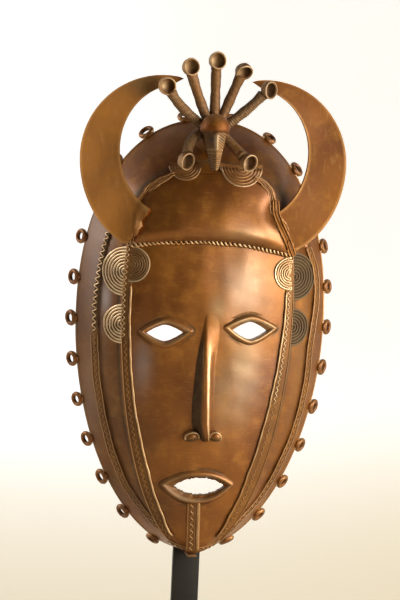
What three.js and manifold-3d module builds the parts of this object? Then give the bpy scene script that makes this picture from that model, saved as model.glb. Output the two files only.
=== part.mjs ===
// A lost-wax cast brass face mask with crescent horns, held at the chin by a flat steel post on a plate foot.
// Millimetres, +Z up, the face looks along -Y. The origin is the centre of the foot's underside.
// The mask is shaped in a frame of its own: x from the middle of the face, z up from the chin and y back from
// the plane of the rim. "Forward" is how far a point lies in front of that plane.
import * as THREE from 'three';
import { mergeVertices } from 'three/addons/utils/BufferGeometryUtils.js';
import Module from 'manifold-3d';

const wasm = await Module();
wasm.setup();

// Where the mask is held: the rim's plane and the chin's underside, in the whole object's frame
const RIM_Y = 20;
const CHIN_Z = 125;

// The stand
const FOOT = { width: 150, depth: 130, height: 12, bevel: 2 };
const POST = { x: -2, width: 20, depth: 8, front: 1.5, top: 34 };
const TONGUE = { z: 25, thick: 5, width: 16, reach: 24 };
const TAB = { x: -1, width: 7, thick: 2, reach: 21.5 };
const CLEARANCE = 0.35;

// The mask's shell. A "round" of 2 makes an ellipse; more makes it squarer and less makes it more pointed.
const WALL = 3;
const RIM = { half: 94, middle: 175, above: 147, below: 177, aboveRound: 2.2, belowRound: 1.93 };
const FACE = { half: 63.6, middle: 185, above: 169, below: 186, belowRound: 1.96 };
const CAP = { half: 61.5, low: 228, height: 60, round: 2.4 };
const PROFILE = { brow: 190, forward: 48.8, chinDrop: 26, chinRun: 192, hairDrop: 8, hairRun: 98 };
const CROWN = { drop: 10.5, half: 64, level: 150, run: 152 };
const STEP = { side: 5, chin: 2, hair: 2.5 };
const FLANK_SLOPE = 0.72;
const SHELL_AROUND = 48;
const OUTSIDE_ROWS = [0, 0.5, 1, 2, 2.4, 2.75, 3];
const INSIDE_ROWS = [0, 0.55, 1.05, 2.1, 2.6, 3];

// Bands and braids. A section lists how far across the band, and how far above the surface, its edges are.
const FACE_BAND = {
  width: 6,
  chinWidth: 4.2,
  end: 0.44,
  steps: 12,
  section: [[-1, 0.4], [-0.5, 1.7], [0.3, 1.7], [0.7, 2.6], [1, 0.4]],
};
const OUTER_BAND = {
  width: 5.4,
  share: 0.57,
  chinShare: 0.3,
  from: 0.52,
  to: -1.34,
  steps: 10,
  section: [[-1, -0.8], [0, 1.5], [1, -0.8]],
};
const HAIR_BAND = {
  width: 6.4,
  end: 1.02,
  steps: 7,
  section: [[-1, 0.2], [-0.6, 2], [0.6, 2], [1, 0.2]],
};
const BRAID = {
  z: 232.5,
  sag: 5.5,
  half: 57,
  width: 5,
  steps: 9,
  section: [[-1, -0.6], [0, 2.4], [1, -0.6]],
};
const BULGE = { forward: 9.5, half: 56.5 };
const CHIN_STRIP = {
  width: 11.5,
  bottom: [-1, 0.5],
  top: [-3, 38.5],
  section: [[-1, 0.3], [-0.8, 2.8], [-0.5, 2], [0.4, 2], [0.8, 2.8], [1, 0.3]],
};

// Coiled discs, from one angle round to another: halves on each side of the face band and two on the hairline
const COIL = { root: -1.2, low: 0.9, high: 2 };
const HALF_OUTSIDE = { from: -Math.PI / 2, to: Math.PI / 2, steps: 6, coils: 3 };
const HALF_INSIDE = { from: Math.PI / 2, to: 3 * Math.PI / 2, steps: 6, coils: 2 };
const HAIRLINE_FAN = { from: -1.3 * Math.PI, to: 0.3 * Math.PI, steps: 9, coils: 2 };
const DISCS = [
  { x: 63.5, z: 208, radius: 16.6, squeeze: 0.8, ...HALF_OUTSIDE },
  { x: 64.2, z: 170, radius: 14.4, squeeze: 0.78, ...HALF_OUTSIDE },
  { x: 56.5, z: 211, radius: 12.4, squeeze: 0.92, ...HALF_INSIDE },
  { x: 20.3, z: 288, radius: 12.8, squeeze: 1, ...HAIRLINE_FAN },
];

// Slots with rolled rims, each a pair of bows that meet in points
const SLOT_STEPS = 16;
const SLOT_BOW = 0.92;
const EYES = [
  { x: -31.3, z: 164.2, half: 18.4, high: 8.6, holeHalf: 13.4, holeHigh: 5.7, rim: 1.9 },
  { x: 33.3, z: 167.9, half: 18, high: 9, holeHalf: 14, holeHigh: 6.2, rim: 1.9 },
];
const MOUTH = { x: -1.2, z: 51.2, half: 25.5, high: 11.6, holeHalf: 19.3, holeHigh: 6.9, rim: 2.3 };

const NOSE = { top: 188, tip: 87.5, lean: -2.6, topHalf: 5, half: 8.4, ridge: 0.3, forward: 12.5 };
const NOSTRIL = { apart: 8.6, z: 90, across: 5.4, tall: 3.6, forward: 4.8 };

// Horns are flat plates between two oval arcs, standing on the temples and swept back by the toe angle.
const HORN = {
  outer: { x: 38, z: 291, half: 60.5, above: 60.5, below: 70, from: 1.72, to: -1.13, steps: 16 },
  inner: { x: 27, z: 298, half: 42.5, above: 47, below: 49.5, from: -1.02, to: 1.42, steps: 12 },
  tip: [25, 349.6],
  root: [[62, 229], [54, 228], [44, 246], [46.5, 252]],
  thick: 2.8,
  forward: 38.5,
  toe: 0.09,
};
const HORN_FOLD = { from: [61, 229], to: [47.5, 252], section: [[-1, 0.2], [-0.5, 3], [0.4, 4.2], [1, 0.2]] };

// The crest: a small bearded head on a boss, with seven arms that each end in a cup
const BOSS = { x: -2, z: 308, radius: 9, rootRadius: 10.5, forward: 50 };
const HEAD = { x: -2.4, z: 313.5, forward: 55, half: 11.2, tall: 10.8, deep: 11 };
const HEAD_FACE = {
  top: 311,
  chin: 283.6,
  half: 8.8,
  chinHalf: 2.8,
  forward: 65.5,
  chinForward: 68,
  back: 57,
};
const ARM = { radius: 3.4, around: 5, steps: 3, forward: 44 };
const CUP = { radius: 6.6, wall: 1.5, deep: 7.5, around: 8 };
const ARMS = [
  { root: [-7, 314], bow: [-25, 327], cup: [-39, 343.3], forward: 51 },
  { root: [-5, 316], bow: [-13.5, 334], cup: [-22.5, 357.4], forward: 49 },
  { root: [-2, 317], bow: [-2.5, 340], cup: [-3.2, 362.9], forward: 49 },
  { root: [1, 316], bow: [8.5, 336], cup: [16.6, 357.3], forward: 49 },
  { root: [3, 314], bow: [20, 328], cup: [35, 343.8], forward: 51 },
  { root: [-7, 310], bow: [-12.5, 302], cup: [-24, 290], forward: 57 },
  { root: [3, 310], bow: [11, 303], cup: [21.8, 291], forward: 57 },
];

// Rings stand out from the rim in the direction of the flank.
const RING = { radius: 4.4, wire: 1.9, outset: 5.4, pairs: 13, fromChin: 29, fromTop: 17.5 };

const mix = THREE.MathUtils.lerp;
const clamp = THREE.MathUtils.clamp;
const signedPower = (value, power) => Math.sign(value) * Math.abs(value) ** power;

// Faces of a closed mesh are all turned over where its volume comes out negative.
function turnedOut(index, position) {
  const [a, b, c] = [new THREE.Vector3(), new THREE.Vector3(), new THREE.Vector3()];
  let volume = 0;
  for (let i = 0; i < index.length; i += 3) {
    a.fromBufferAttribute(position, index[i]);
    b.fromBufferAttribute(position, index[i + 1]);
    c.fromBufferAttribute(position, index[i + 2]);
    volume += a.dot(b.cross(c));
  }
  if (volume > 0) return index;
  return index.map((_, i) => index[i % 3 === 0 ? i : i % 3 === 1 ? i + 1 : i - 1]);
}

function solid(geometry) {
  geometry.deleteAttribute('normal');
  geometry.deleteAttribute('uv');
  const merged = mergeVertices(geometry, 1e-3);
  const index = turnedOut(merged.index.array, merged.attributes.position);
  const triangles = [];
  for (let i = 0; i < index.length; i += 3) {
    const [a, b, c] = [index[i], index[i + 1], index[i + 2]];
    if (a !== b && b !== c && c !== a) triangles.push(a, b, c);
  }
  return new wasm.Manifold(new wasm.Mesh({
    numProp: 3,
    vertProperties: new Float32Array(merged.attributes.position.array),
    triVerts: new Uint32Array(triangles),
  }));
}

const joined = (solids) => solids.reduce((whole, piece) => whole.add(piece));

function namedMesh(name, manifold, material) {
  const { vertProperties, triVerts } = manifold.getMesh();
  const geometry = new THREE.BufferGeometry();
  geometry.setAttribute('position', new THREE.BufferAttribute(new Float32Array(vertProperties), 3));
  geometry.setIndex(new THREE.BufferAttribute(new Uint32Array(triVerts), 1));
  geometry.computeVertexNormals();
  const mesh = new THREE.Mesh(geometry, material);
  mesh.name = name;
  return mesh;
}

// Moves each vertex of a geometry to the place that a function gives for its position and its uv.
function mapped(geometry, place) {
  const { position, uv } = geometry.attributes;
  const at = new THREE.Vector3();
  for (let i = 0; i < position.count; i++) {
    at.fromBufferAttribute(position, i);
    position.setXYZ(i, ...place(at, uv.getX(i), uv.getY(i)));
  }
  return geometry;
}

// Outlines seen from the front

function rimRadius(angle) {
  const [cos, sin] = [Math.abs(Math.cos(angle)), Math.sin(angle)];
  const [height, round] = sin > 0 ? [RIM.above, RIM.aboveRound] : [RIM.below, RIM.belowRound];
  return ((cos / RIM.half) ** round + (Math.abs(sin) / height) ** round) ** (-1 / round);
}

// Half the width of the raised face, and of the cap above it, at a height
function faceHalf(z) {
  const bow = (half, share, round) => half * (1 - clamp(share, 0, 1) ** round) ** (1 / round);
  if (z > CAP.low) return bow(CAP.half, (z - CAP.low) / CAP.height, CAP.round);
  if (z > FACE.middle) return bow(FACE.half, (z - FACE.middle) / FACE.above, 2);
  return bow(FACE.half, (FACE.middle - z) / FACE.below, FACE.belowRound);
}

// The distance from the rim's middle to the edge of the raised face, found by halving
function faceRadius(angle) {
  const [cos, sin] = [Math.abs(Math.cos(angle)), Math.sin(angle)];
  let [low, high] = [0, rimRadius(angle)];
  for (let i = 0; i < 30; i++) {
    const r = (low + high) / 2;
    if (r * cos < faceHalf(RIM.middle + r * sin)) low = r;
    else high = r;
  }
  return low;
}

// How far out from the rim's middle the face band begins, which is where the face starts to step down
function bandRadius(angle) {
  const edge = faceRadius(angle);
  const slant = Math.atan((faceRadius(angle + 0.01) - faceRadius(angle - 0.01)) / 0.02 / edge);
  const z = RIM.middle + edge * Math.sin(angle);
  const width = mix(FACE_BAND.chinWidth, FACE_BAND.width, clamp(z / 60, 0, 1));
  return edge - Math.min(width / Math.cos(slant), edge / 3);
}

// How far forward the surface lies

function middleLine(z) {
  const { brow, forward, hairDrop, hairRun, chinDrop, chinRun } = PROFILE;
  if (z > brow) return forward - hairDrop * ((z - brow) / hairRun) ** 2;
  return forward - chinDrop * ((brow - z) / chinRun) ** 2.2;
}

function facePlate(x, z) {
  const down = clamp((CROWN.level - z) / CROWN.run, 0, 0.97);
  const narrow = Math.sqrt(1 - down * down);
  return middleLine(z) - CROWN.drop * Math.sqrt(narrow) * (x / CROWN.half / narrow) ** 2;
}

function flankFoot(angle, edge) {
  const up = Math.sin(angle);
  const step = up > 0 ? mix(STEP.side, STEP.hair, up ** 2) : mix(STEP.side, STEP.chin, up ** 8);
  return facePlate(edge * Math.cos(angle), RIM.middle + edge * up) - step;
}

// The flank, which carries on inward under the band
function flank(x, z) {
  const angle = Math.atan2(z - RIM.middle, x);
  const edge = faceRadius(angle);
  const t = Math.min((Math.hypot(x, z - RIM.middle) - edge) / (rimRadius(angle) - edge), 1.2);
  return flankFoot(angle, edge) * (1 - FLANK_SLOPE * t - (1 - FLANK_SLOPE) * t * Math.abs(t));
}

function surface(x, z) {
  const angle = Math.atan2(z - RIM.middle, x);
  const r = Math.hypot(x, z - RIM.middle);
  const edge = faceRadius(angle);
  if (r >= edge) return flank(x, z);
  const band = bandRadius(angle);
  if (r < band) return facePlate(x, z);
  return mix(facePlate(x, z), flankFoot(angle, edge), (r - band) / (edge - band));
}

function normalAt(x, z, level) {
  const d = 0.5;
  const slopeX = (level(x + d, z) - level(x - d, z)) / (2 * d);
  const slopeZ = (level(x, z + d) - level(x, z - d)) / (2 * d);
  return new THREE.Vector3(-slopeX, -1, -slopeZ).normalize();
}

// The shell is a closed sphere whose near half becomes the outside and whose far half becomes the hollow.

function rimPoint(angle) {
  const [cos, sin] = [Math.cos(angle), Math.sin(angle)];
  const [height, round] = sin > 0 ? [RIM.above, RIM.aboveRound] : [RIM.below, RIM.belowRound];
  return new THREE.Vector2(RIM.half * signedPower(cos, 2 / round), height * signedPower(sin, 2 / round));
}

// Row 0 is the rim's middle, 1 the inside of the face band, 2 its outside and 3 the rim.
function rowPoint(turn, row) {
  const angle = rimPoint(turn * 2 * Math.PI).angle();
  const radii = [0, bandRadius(angle), faceRadius(angle), rimRadius(angle)];
  const inner = Math.min(Math.floor(row), 2);
  const r = mix(radii[inner], radii[inner + 1], row - inner);
  return [r * Math.cos(angle), RIM.middle + r * Math.sin(angle)];
}

function shell() {
  const rows = [...OUTSIDE_ROWS, ...INSIDE_ROWS.toReversed()];
  const sphere = new THREE.SphereGeometry(1, SHELL_AROUND, rows.length - 1);
  return solid(mapped(sphere, (at, u, v) => {
    const place = Math.round((1 - v) * (rows.length - 1));
    const [x, z] = rowPoint(u, rows[place]);
    const outside = new THREE.Vector3(x, -surface(x, z), z);
    if (place < OUTSIDE_ROWS.length) return outside;
    if (place === OUTSIDE_ROWS.length) {
      const narrower = 1 - WALL / Math.hypot(x, z - RIM.middle);
      return [x * narrower, 0, RIM.middle + (z - RIM.middle) * narrower];
    }
    return outside.addScaledVector(normalAt(x, z, surface), -WALL);
  }));
}

// A strip of wax laid along a line on the mask, with its root inside the shell's wall
function strip(path, steps, width, section, level) {
  const lanes = section.length - 1;
  const box = new THREE.BoxGeometry(1, 1, 1, lanes, 1, steps);
  return solid(mapped(box, (at) => {
    const s = at.z + 0.5;
    const [across, height] = section[Math.round((at.x + 0.5) * lanes)];
    const here = path(s);
    const ahead = path(s + 1e-3);
    const along = new THREE.Vector2(ahead[0] - here[0], ahead[1] - here[1]).normalize();
    const x = here[0] + along.y * across * width(s) / 2;
    const z = here[1] - along.x * across * width(s) / 2;
    return [x, at.y > 0 ? WALL / 2 - surface(x, z) : -level(x, z) - height, z];
  }));
}

const mirrored = (side, section) => section.map(([across, height]) => [-side * across, height]);

// From the temple down to the chin, just inside the edge of the face
function faceBand(side) {
  const inset = FACE_BAND.width / 2;
  const start = Math.asin((CAP.low - FACE.middle) / FACE.above);
  const path = (s) => {
    const turn = mix(start, -Math.PI * FACE_BAND.end, s);
    const round = turn > 0 ? 1 : 2 / FACE.belowRound;
    const height = turn > 0 ? FACE.above : FACE.below - inset;
    return [
      side * (FACE.half - inset) * signedPower(Math.cos(turn), round),
      FACE.middle + height * signedPower(Math.sin(turn), round),
    ];
  };
  const width = (s) => mix(FACE_BAND.width, FACE_BAND.chinWidth, clamp(s * 4 - 3, 0, 1));
  return strip(path, FACE_BAND.steps, width, mirrored(-side, FACE_BAND.section), facePlate);
}

// From under the horn down the flank, joining the face band at the chin
function outerBand(side) {
  const path = (s) => {
    const angle = mix(OUTER_BAND.from, OUTER_BAND.to, s);
    const edge = faceRadius(angle);
    const share = mix(OUTER_BAND.share, OUTER_BAND.chinShare, clamp(s * 2.5 - 1.5, 0, 1) ** 2);
    const r = mix(edge, rimRadius(angle), share);
    return [side * r * Math.cos(angle), RIM.middle + r * Math.sin(angle)];
  };
  const width = (s) => OUTER_BAND.width * mix(1, 0.7, s ** 3);
  return strip(path, OUTER_BAND.steps, width, OUTER_BAND.section, flank);
}

// From the temple over the cap's edge up to the hairline discs
function hairBand(side) {
  const inset = HAIR_BAND.width / 2;
  const path = (s) => [
    side * (CAP.half - inset) * Math.cos(HAIR_BAND.end * s) ** (2 / CAP.round),
    CAP.low + (CAP.height - inset) * signedPower(Math.sin(HAIR_BAND.end * s), 2 / CAP.round),
  ];
  return strip(path, HAIR_BAND.steps, () => HAIR_BAND.width, HAIR_BAND.section, facePlate);
}

const braidLevel = (x) => BRAID.z - BRAID.sag * (x / BRAID.half) ** 2;

function foreheadBraid() {
  const path = (s) => [mix(-BRAID.half, BRAID.half, s), braidLevel(mix(-BRAID.half, BRAID.half, s))];
  return strip(path, BRAID.steps, () => BRAID.width, BRAID.section, facePlate);
}

function chinStrip() {
  const path = (s) => [
    mix(CHIN_STRIP.bottom[0], CHIN_STRIP.top[0], s),
    mix(CHIN_STRIP.bottom[1], CHIN_STRIP.top[1], s),
  ];
  return strip(path, 4, () => CHIN_STRIP.width, CHIN_STRIP.section, facePlate);
}

// The cap swells forward over the braid and dies away toward the hairline.
function capBulge() {
  const heights = [0, 0.07, 0.25, 0.6, 1];
  const box = new THREE.BoxGeometry(1, 1, 1, 8, 1, heights.length - 1);
  return solid(mapped(box, (at) => {
    const up = heights[Math.round((at.z + 0.5) * (heights.length - 1))];
    const x = BULGE.half * Math.sin(at.x * Math.PI);
    const low = braidLevel(x);
    const high = CAP.low + (CAP.height - 5) * (1 - Math.abs(x / CAP.half) ** CAP.round) ** (1 / CAP.round);
    const z = mix(low, Math.max(high, low + 2), up);
    const swell = up < 0.2 ? Math.sqrt(1 - (1 - up / 0.2) ** 2) : Math.cos((up - 0.2) / 0.8 * Math.PI / 2);
    const rise = BULGE.forward * swell * (1 - Math.abs(at.x * 2) ** 3);
    return [x, -facePlate(x, z) - (at.y > 0 ? -WALL / 2 : 0.2 + rise), z];
  }));
}

// The coils are ridges between the middle and the edge; the face band hides the straight side of a half.
function disc(side, { x, z, radius, squeeze, from, to, steps, coils }) {
  const level = to > Math.PI ? facePlate : surface;
  const box = new THREE.BoxGeometry(1, 1, 1, 2 * coils, 1, steps);
  return solid(mapped(box, (at) => {
    const lane = Math.round((at.x + 0.5) * 2 * coils);
    const r = radius * Math.max(lane / 2 / coils, 0.03);
    const angle = mix(from, to, at.z + 0.5);
    const px = side * (x + r * squeeze * Math.cos(angle));
    const pz = z + r * Math.sin(angle);
    const height = at.y > 0 ? COIL.root : lane % 2 ? COIL.high : COIL.low;
    return new THREE.Vector3(px, -level(px, pz), pz).addScaledVector(normalAt(px, pz, level), height);
  }));
}

function bowPoint(turn, half, high) {
  const across = Math.cos(turn * 2 * Math.PI);
  return [half * across, Math.sign(Math.sin(turn * 2 * Math.PI)) * high * (1 - across * across) ** SLOT_BOW];
}

function rolledRim({ x, z, half, high, rim }) {
  return solid(mapped(new THREE.TorusGeometry(1, 0.2, 4, SLOT_STEPS), (at, u, v) => {
    const [dx, dz] = bowPoint(u, half, high);
    const outward = 1 + rim * Math.cos(v * 2 * Math.PI) / Math.hypot(dx, dz);
    const [px, pz] = [x + dx * outward, z + dz * outward];
    return [px, -facePlate(px, pz) - 0.6 - rim * 1.1 * Math.sin(v * 2 * Math.PI), pz];
  }));
}

// A flat plate with its face toward the front, between y = 0 and y = -thick
function plateOf(outline, thick) {
  const shape = new THREE.Shape(outline.map(([x, z]) => new THREE.Vector2(x, z)));
  return new THREE.ExtrudeGeometry(shape, { depth: thick, bevelEnabled: false }).rotateX(Math.PI / 2);
}

function slotCutter({ x, z, holeHalf, holeHigh }) {
  const outline = Array.from({ length: SLOT_STEPS }, (_, i) => bowPoint(i / SLOT_STEPS, holeHalf, holeHigh));
  const bar = plateOf(outline, 80);
  bar.translate(x, 0, z);
  return solid(bar);
}

function nose() {
  const edges = [-1, -NOSE.ridge, NOSE.ridge, 1];
  const box = new THREE.BoxGeometry(1, 1, 1, edges.length - 1, 1, 7);
  return solid(mapped(box, (at) => {
    const down = 0.5 - at.z;
    const across = edges[Math.round((at.x + 0.5) * (edges.length - 1))];
    const z = mix(NOSE.top, NOSE.tip, down);
    const x = NOSE.lean * (1 - down) + across * mix(NOSE.topHalf, NOSE.half, clamp(down * 1.6, 0, 1));
    const height = NOSE.forward * Math.min(1, down * 5) ** 0.7 * mix(0.55, 1, down);
    const rise = Math.abs(across) < 1 ? height : -0.3;
    return [x, -facePlate(x, z) - (at.y > 0 ? -WALL / 2 : rise), z];
  }));
}

function nostril(side) {
  const bead = new THREE.SphereGeometry(1, 7, 5);
  bead.scale(NOSTRIL.across, NOSTRIL.forward, NOSTRIL.tall);
  bead.translate(side * NOSTRIL.apart, -facePlate(NOSTRIL.apart, NOSTRIL.z) - 0.8, NOSTRIL.z);
  return solid(bead);
}

function arc({ x, z, half, above, below, from, to, steps }) {
  return Array.from({ length: steps + 1 }, (_, i) => {
    const turn = mix(from, to, i / steps);
    return [x + half * Math.cos(turn), z + (turn > 0 ? above : below) * Math.sin(turn)];
  });
}

function horn(side) {
  const plate = plateOf([HORN.tip, ...arc(HORN.outer), ...HORN.root, ...arc(HORN.inner)], HORN.thick);
  plate.translate(-HORN.root[3][0], HORN.thick / 2, 0);
  plate.rotateZ(HORN.toe);
  plate.translate(HORN.root[3][0], -HORN.forward, 0);
  plate.scale(side, 1, 1);
  return solid(plate);
}

// A thick fold of wax along each horn's root joins it to the temple.
function hornFold(side) {
  const path = (s) => [
    side * mix(HORN_FOLD.from[0], HORN_FOLD.to[0], s),
    mix(HORN_FOLD.from[1], HORN_FOLD.to[1], s),
  ];
  return strip(path, 3, (s) => mix(6, 9, Math.sin(s * Math.PI)), HORN_FOLD.section, facePlate);
}

function boss() {
  const neck = new THREE.CylinderGeometry(BOSS.radius, BOSS.rootRadius, 1, 10);
  return solid(mapped(neck, (at) => {
    const [x, z] = [BOSS.x + at.x, BOSS.z + at.z];
    return [x, at.y > 0 ? -BOSS.forward : WALL / 2 - surface(x, z), z];
  }));
}

function head() {
  const dome = new THREE.SphereGeometry(1, 9, 6);
  dome.scale(HEAD.half, HEAD.deep, HEAD.tall);
  dome.translate(HEAD.x, -HEAD.forward, HEAD.z);
  const wedge = new THREE.BoxGeometry(1, 1, 1, 2, 1, 2);
  mapped(wedge, (at) => {
    const down = 0.5 - at.z;
    const half = mix(HEAD_FACE.half, HEAD_FACE.chinHalf, down ** 0.9);
    const ridge = mix(HEAD_FACE.forward, HEAD_FACE.chinForward, down);
    const forward = Math.abs(at.x) < 0.1 ? ridge : ridge - mix(4, 1.5, down);
    const back = mix(HEAD.forward, HEAD_FACE.back, down);
    return [HEAD.x + at.x * 2 * half, at.y > 0 ? -back : -forward, mix(HEAD_FACE.top, HEAD_FACE.chin, down)];
  });
  return solid(dome).add(solid(wedge));
}

function arm({ root, bow, cup, forward }) {
  const inward = new THREE.Vector2(bow[0] - cup[0], bow[1] - cup[1]).setLength(CUP.radius - CUP.wall / 2);
  const path = new THREE.CatmullRomCurve3([
    new THREE.Vector3(root[0], -ARM.forward, root[1]),
    new THREE.Vector3(bow[0], -mix(ARM.forward, forward, 0.4), bow[1]),
    new THREE.Vector3(cup[0] + inward.x, -forward, cup[1] + inward.y),
  ]);
  const section = new THREE.Shape();
  section.absellipse(0, 0, ARM.radius, ARM.radius, 0, 2 * Math.PI);
  const tube = new THREE.ExtrudeGeometry(section, {
    steps: ARM.steps,
    curveSegments: ARM.around,
    extrudePath: path,
  });
  const inner = CUP.radius - CUP.wall;
  const profile = [
    [0, 0], [CUP.radius * 0.8, 1.6], [CUP.radius, 5], [CUP.radius, CUP.deep], [inner, CUP.deep], [0, 2.4],
  ];
  const bowl = new THREE.LatheGeometry(profile.map(([r, h]) => new THREE.Vector2(r, h)), CUP.around);
  bowl.scale(1, -1, 1);
  bowl.translate(cup[0], -forward + 3.5, cup[1]);
  return solid(tube).add(solid(bowl));
}

// The angles at which rings stand, evenly spaced along the rim from the chin to the top
function ringAngles() {
  const steps = 400;
  const angleAt = (i) => mix(-Math.PI / 2, Math.PI / 2, i / steps);
  const lengths = [0];
  for (let i = 1; i <= steps; i++) {
    lengths.push(lengths[i - 1] + rimPoint(angleAt(i)).distanceTo(rimPoint(angleAt(i - 1))));
  }
  const spacing = (lengths[steps] - RING.fromChin - RING.fromTop) / (RING.pairs - 1);
  return Array.from({ length: RING.pairs }, (_, k) => {
    return angleAt(lengths.findIndex((length) => length >= RING.fromChin + k * spacing));
  });
}

function ring(side, angle) {
  const here = rimPoint(angle);
  const ahead = rimPoint(angle + 0.01);
  const along = new THREE.Vector3(side * (ahead.x - here.x), 0, ahead.y - here.y).normalize();
  const normal = normalAt(side * here.x * 0.985, RIM.middle + here.y * 0.985, flank);
  const axis = normal.addScaledVector(along, -normal.dot(along)).normalize();
  const outward = new THREE.Vector3().crossVectors(along, axis).multiplyScalar(side);
  const torus = new THREE.TorusGeometry(RING.radius, RING.wire, 4, 6);
  torus.rotateZ(Math.PI / 6);
  torus.applyMatrix4(new THREE.Matrix4().makeBasis(along, outward, axis.multiplyScalar(-side)));
  const foot = new THREE.Vector3(side * here.x, -1, RIM.middle + here.y);
  torus.translate(...foot.addScaledVector(outward, RING.outset));
  return solid(torus);
}

function mask() {
  const sides = [-1, 1];
  const bothSides = (build) => sides.map((side) => build(side));
  const whole = joined([
    shell(),
    capBulge(),
    foreheadBraid(),
    chinStrip(),
    nose(),
    rolledRim(MOUTH),
    ...EYES.map(rolledRim),
    ...bothSides(nostril),
    ...bothSides(faceBand),
    ...bothSides(outerBand),
    ...bothSides(hairBand),
    ...DISCS.flatMap((coils) => bothSides((side) => disc(side, coils))),
    ...bothSides(horn),
    ...bothSides(hornFold),
    boss(),
    head(),
    ...ARMS.map(arm),
    ...ringAngles().flatMap((angle) => bothSides((side) => ring(side, angle))),
  ]);
  return [...EYES, MOUTH].reduce((rest, slot) => rest.subtract(slotCutter(slot)), whole);
}

function block(x, y, z) {
  const box = new THREE.BoxGeometry(x[1] - x[0], y[1] - y[0], z[1] - z[0]);
  box.translate((x[0] + x[1]) / 2, (y[0] + y[1]) / 2, (z[0] + z[1]) / 2);
  return solid(box);
}

const spread = (middle, width) => [middle - width / 2, middle + width / 2];

// The post carries a tongue that reaches up into the hollow chin and a tab that the chin's rim rests on.
function standPost() {
  const under = CHIN_Z + RIM.middle - RIM.below - CLEARANCE;
  const front = RIM_Y + POST.front;
  const bar = block(
    spread(POST.x, POST.width),
    [front, front + POST.depth],
    [FOOT.height + CLEARANCE, CHIN_Z + POST.top],
  );
  const tongue = block(
    spread(POST.x, TONGUE.width),
    [RIM_Y - TONGUE.reach, front + 1],
    spread(CHIN_Z + TONGUE.z, TONGUE.thick),
  );
  const tab = block(spread(TAB.x, TAB.width), [RIM_Y - TAB.reach, front + 1], [under - TAB.thick, under]);
  return joined([bar, tongue, tab]);
}

function standFoot() {
  const { width, depth, height, bevel } = FOOT;
  const outline = new THREE.Shape();
  outline.moveTo(-width / 2 + bevel, -depth / 2 + bevel);
  outline.lineTo(width / 2 - bevel, -depth / 2 + bevel);
  outline.lineTo(width / 2 - bevel, depth / 2 - bevel);
  outline.lineTo(-width / 2 + bevel, depth / 2 - bevel);
  const plate = new THREE.ExtrudeGeometry(outline, {
    depth: height - bevel,
    bevelThickness: bevel,
    bevelSize: bevel,
    bevelSegments: 1,
  });
  const flatUnder = new THREE.BoxGeometry(width + 10, depth + 10, bevel * 2);
  return solid(plate).subtract(solid(flatUnder.translate(0, 0, -bevel)));
}

const brass = new THREE.MeshStandardMaterial({ color: 0x8a5424, roughness: 0.4, metalness: 0.85 });
const blackPaint = new THREE.MeshStandardMaterial({ color: 0x1d1b19, roughness: 0.7, metalness: 0.1 });

const maskMesh = namedMesh('mask', mask().translate([0, RIM_Y, CHIN_Z]), brass);
const model = new THREE.Group();
model.add(maskMesh);
model.add(namedMesh('stand_post', standPost(), blackPaint));
model.add(namedMesh('stand_foot', standFoot(), blackPaint));

export default model;
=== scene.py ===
import bpy
import numpy as np
from mathutils import Matrix, Vector


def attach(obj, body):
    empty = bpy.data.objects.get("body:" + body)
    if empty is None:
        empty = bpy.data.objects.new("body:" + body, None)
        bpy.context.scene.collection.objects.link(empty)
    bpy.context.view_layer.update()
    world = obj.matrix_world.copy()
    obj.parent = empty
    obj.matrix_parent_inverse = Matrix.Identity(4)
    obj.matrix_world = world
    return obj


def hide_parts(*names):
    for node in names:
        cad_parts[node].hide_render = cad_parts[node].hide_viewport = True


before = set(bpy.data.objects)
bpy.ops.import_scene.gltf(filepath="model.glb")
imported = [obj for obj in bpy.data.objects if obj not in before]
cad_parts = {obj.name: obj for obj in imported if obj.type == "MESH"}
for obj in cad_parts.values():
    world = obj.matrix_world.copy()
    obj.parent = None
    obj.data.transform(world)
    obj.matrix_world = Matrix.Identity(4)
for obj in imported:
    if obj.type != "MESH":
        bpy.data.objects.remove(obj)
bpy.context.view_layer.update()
bpy.ops.object.select_all(action="DESELECT")


# The foot is a square plate of thick mild steel with its edges eased, lying flat on the table.
# It is sprayed matt black, in slow clouds of a darker and a paler black.
MM = 0.001
FOOT = {"width": 150, "depth": 130, "height": 12, "bevel": 2}


def box_between(low, high, bevel, segments=3):
    """A block from its lowest to its highest corner in millimetres, with every edge rounded."""
    bpy.ops.mesh.primitive_cube_add(size=1)
    block = bpy.context.object
    low, high = np.array(low, float), np.array(high, float)
    corners = np.array([vertex.co for vertex in block.data.vertices])
    block.data.vertices.foreach_set("co", (((low + high) / 2 + corners * (high - low)) * MM).ravel())
    edges = block.modifiers.new("edges", "BEVEL")
    edges.width = bevel * MM
    edges.segments = segments
    bpy.ops.object.modifier_apply(modifier=edges.name)
    bpy.ops.object.shade_smooth_by_angle(angle=0.7)
    return block


def new_material(name):
    """A new material, its node tree and shader, and functions that add nodes, ranges and mixed colours."""
    material = bpy.data.materials.new(name)
    material.use_nodes = True
    tree = material.node_tree
    principled = tree.nodes["Principled BSDF"]

    def node(kind, settings=None, **inputs):
        made = tree.nodes.new(kind)
        for key, value in (settings or {}).items():
            setattr(made, key, value)
        for key, value in inputs.items():
            socket = made.inputs[int(key[1:])] if key[0] == "i" and key[1:].isdigit() else made.inputs[key]
            if isinstance(value, bpy.types.NodeSocket):
                tree.links.new(value, socket)
            else:
                socket.default_value = value
        return made

    def ranged(value, low, high, to_low=0.0, to_high=1.0, curve="LINEAR"):
        made = node("ShaderNodeMapRange", {"interpolation_type": curve}, Value=value)
        limits = {"From Min": low, "From Max": high, "To Min": to_low, "To Max": to_high}
        for limit, amount in limits.items():
            made.inputs[limit].default_value = amount
        return made.outputs["Result"]

    def mixed(share, first, second):
        return node("ShaderNodeMix", {"data_type": "RGBA"}, i0=share, i6=first, i7=second).outputs[2]

    return material, tree, principled, node, ranged, mixed


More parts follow.
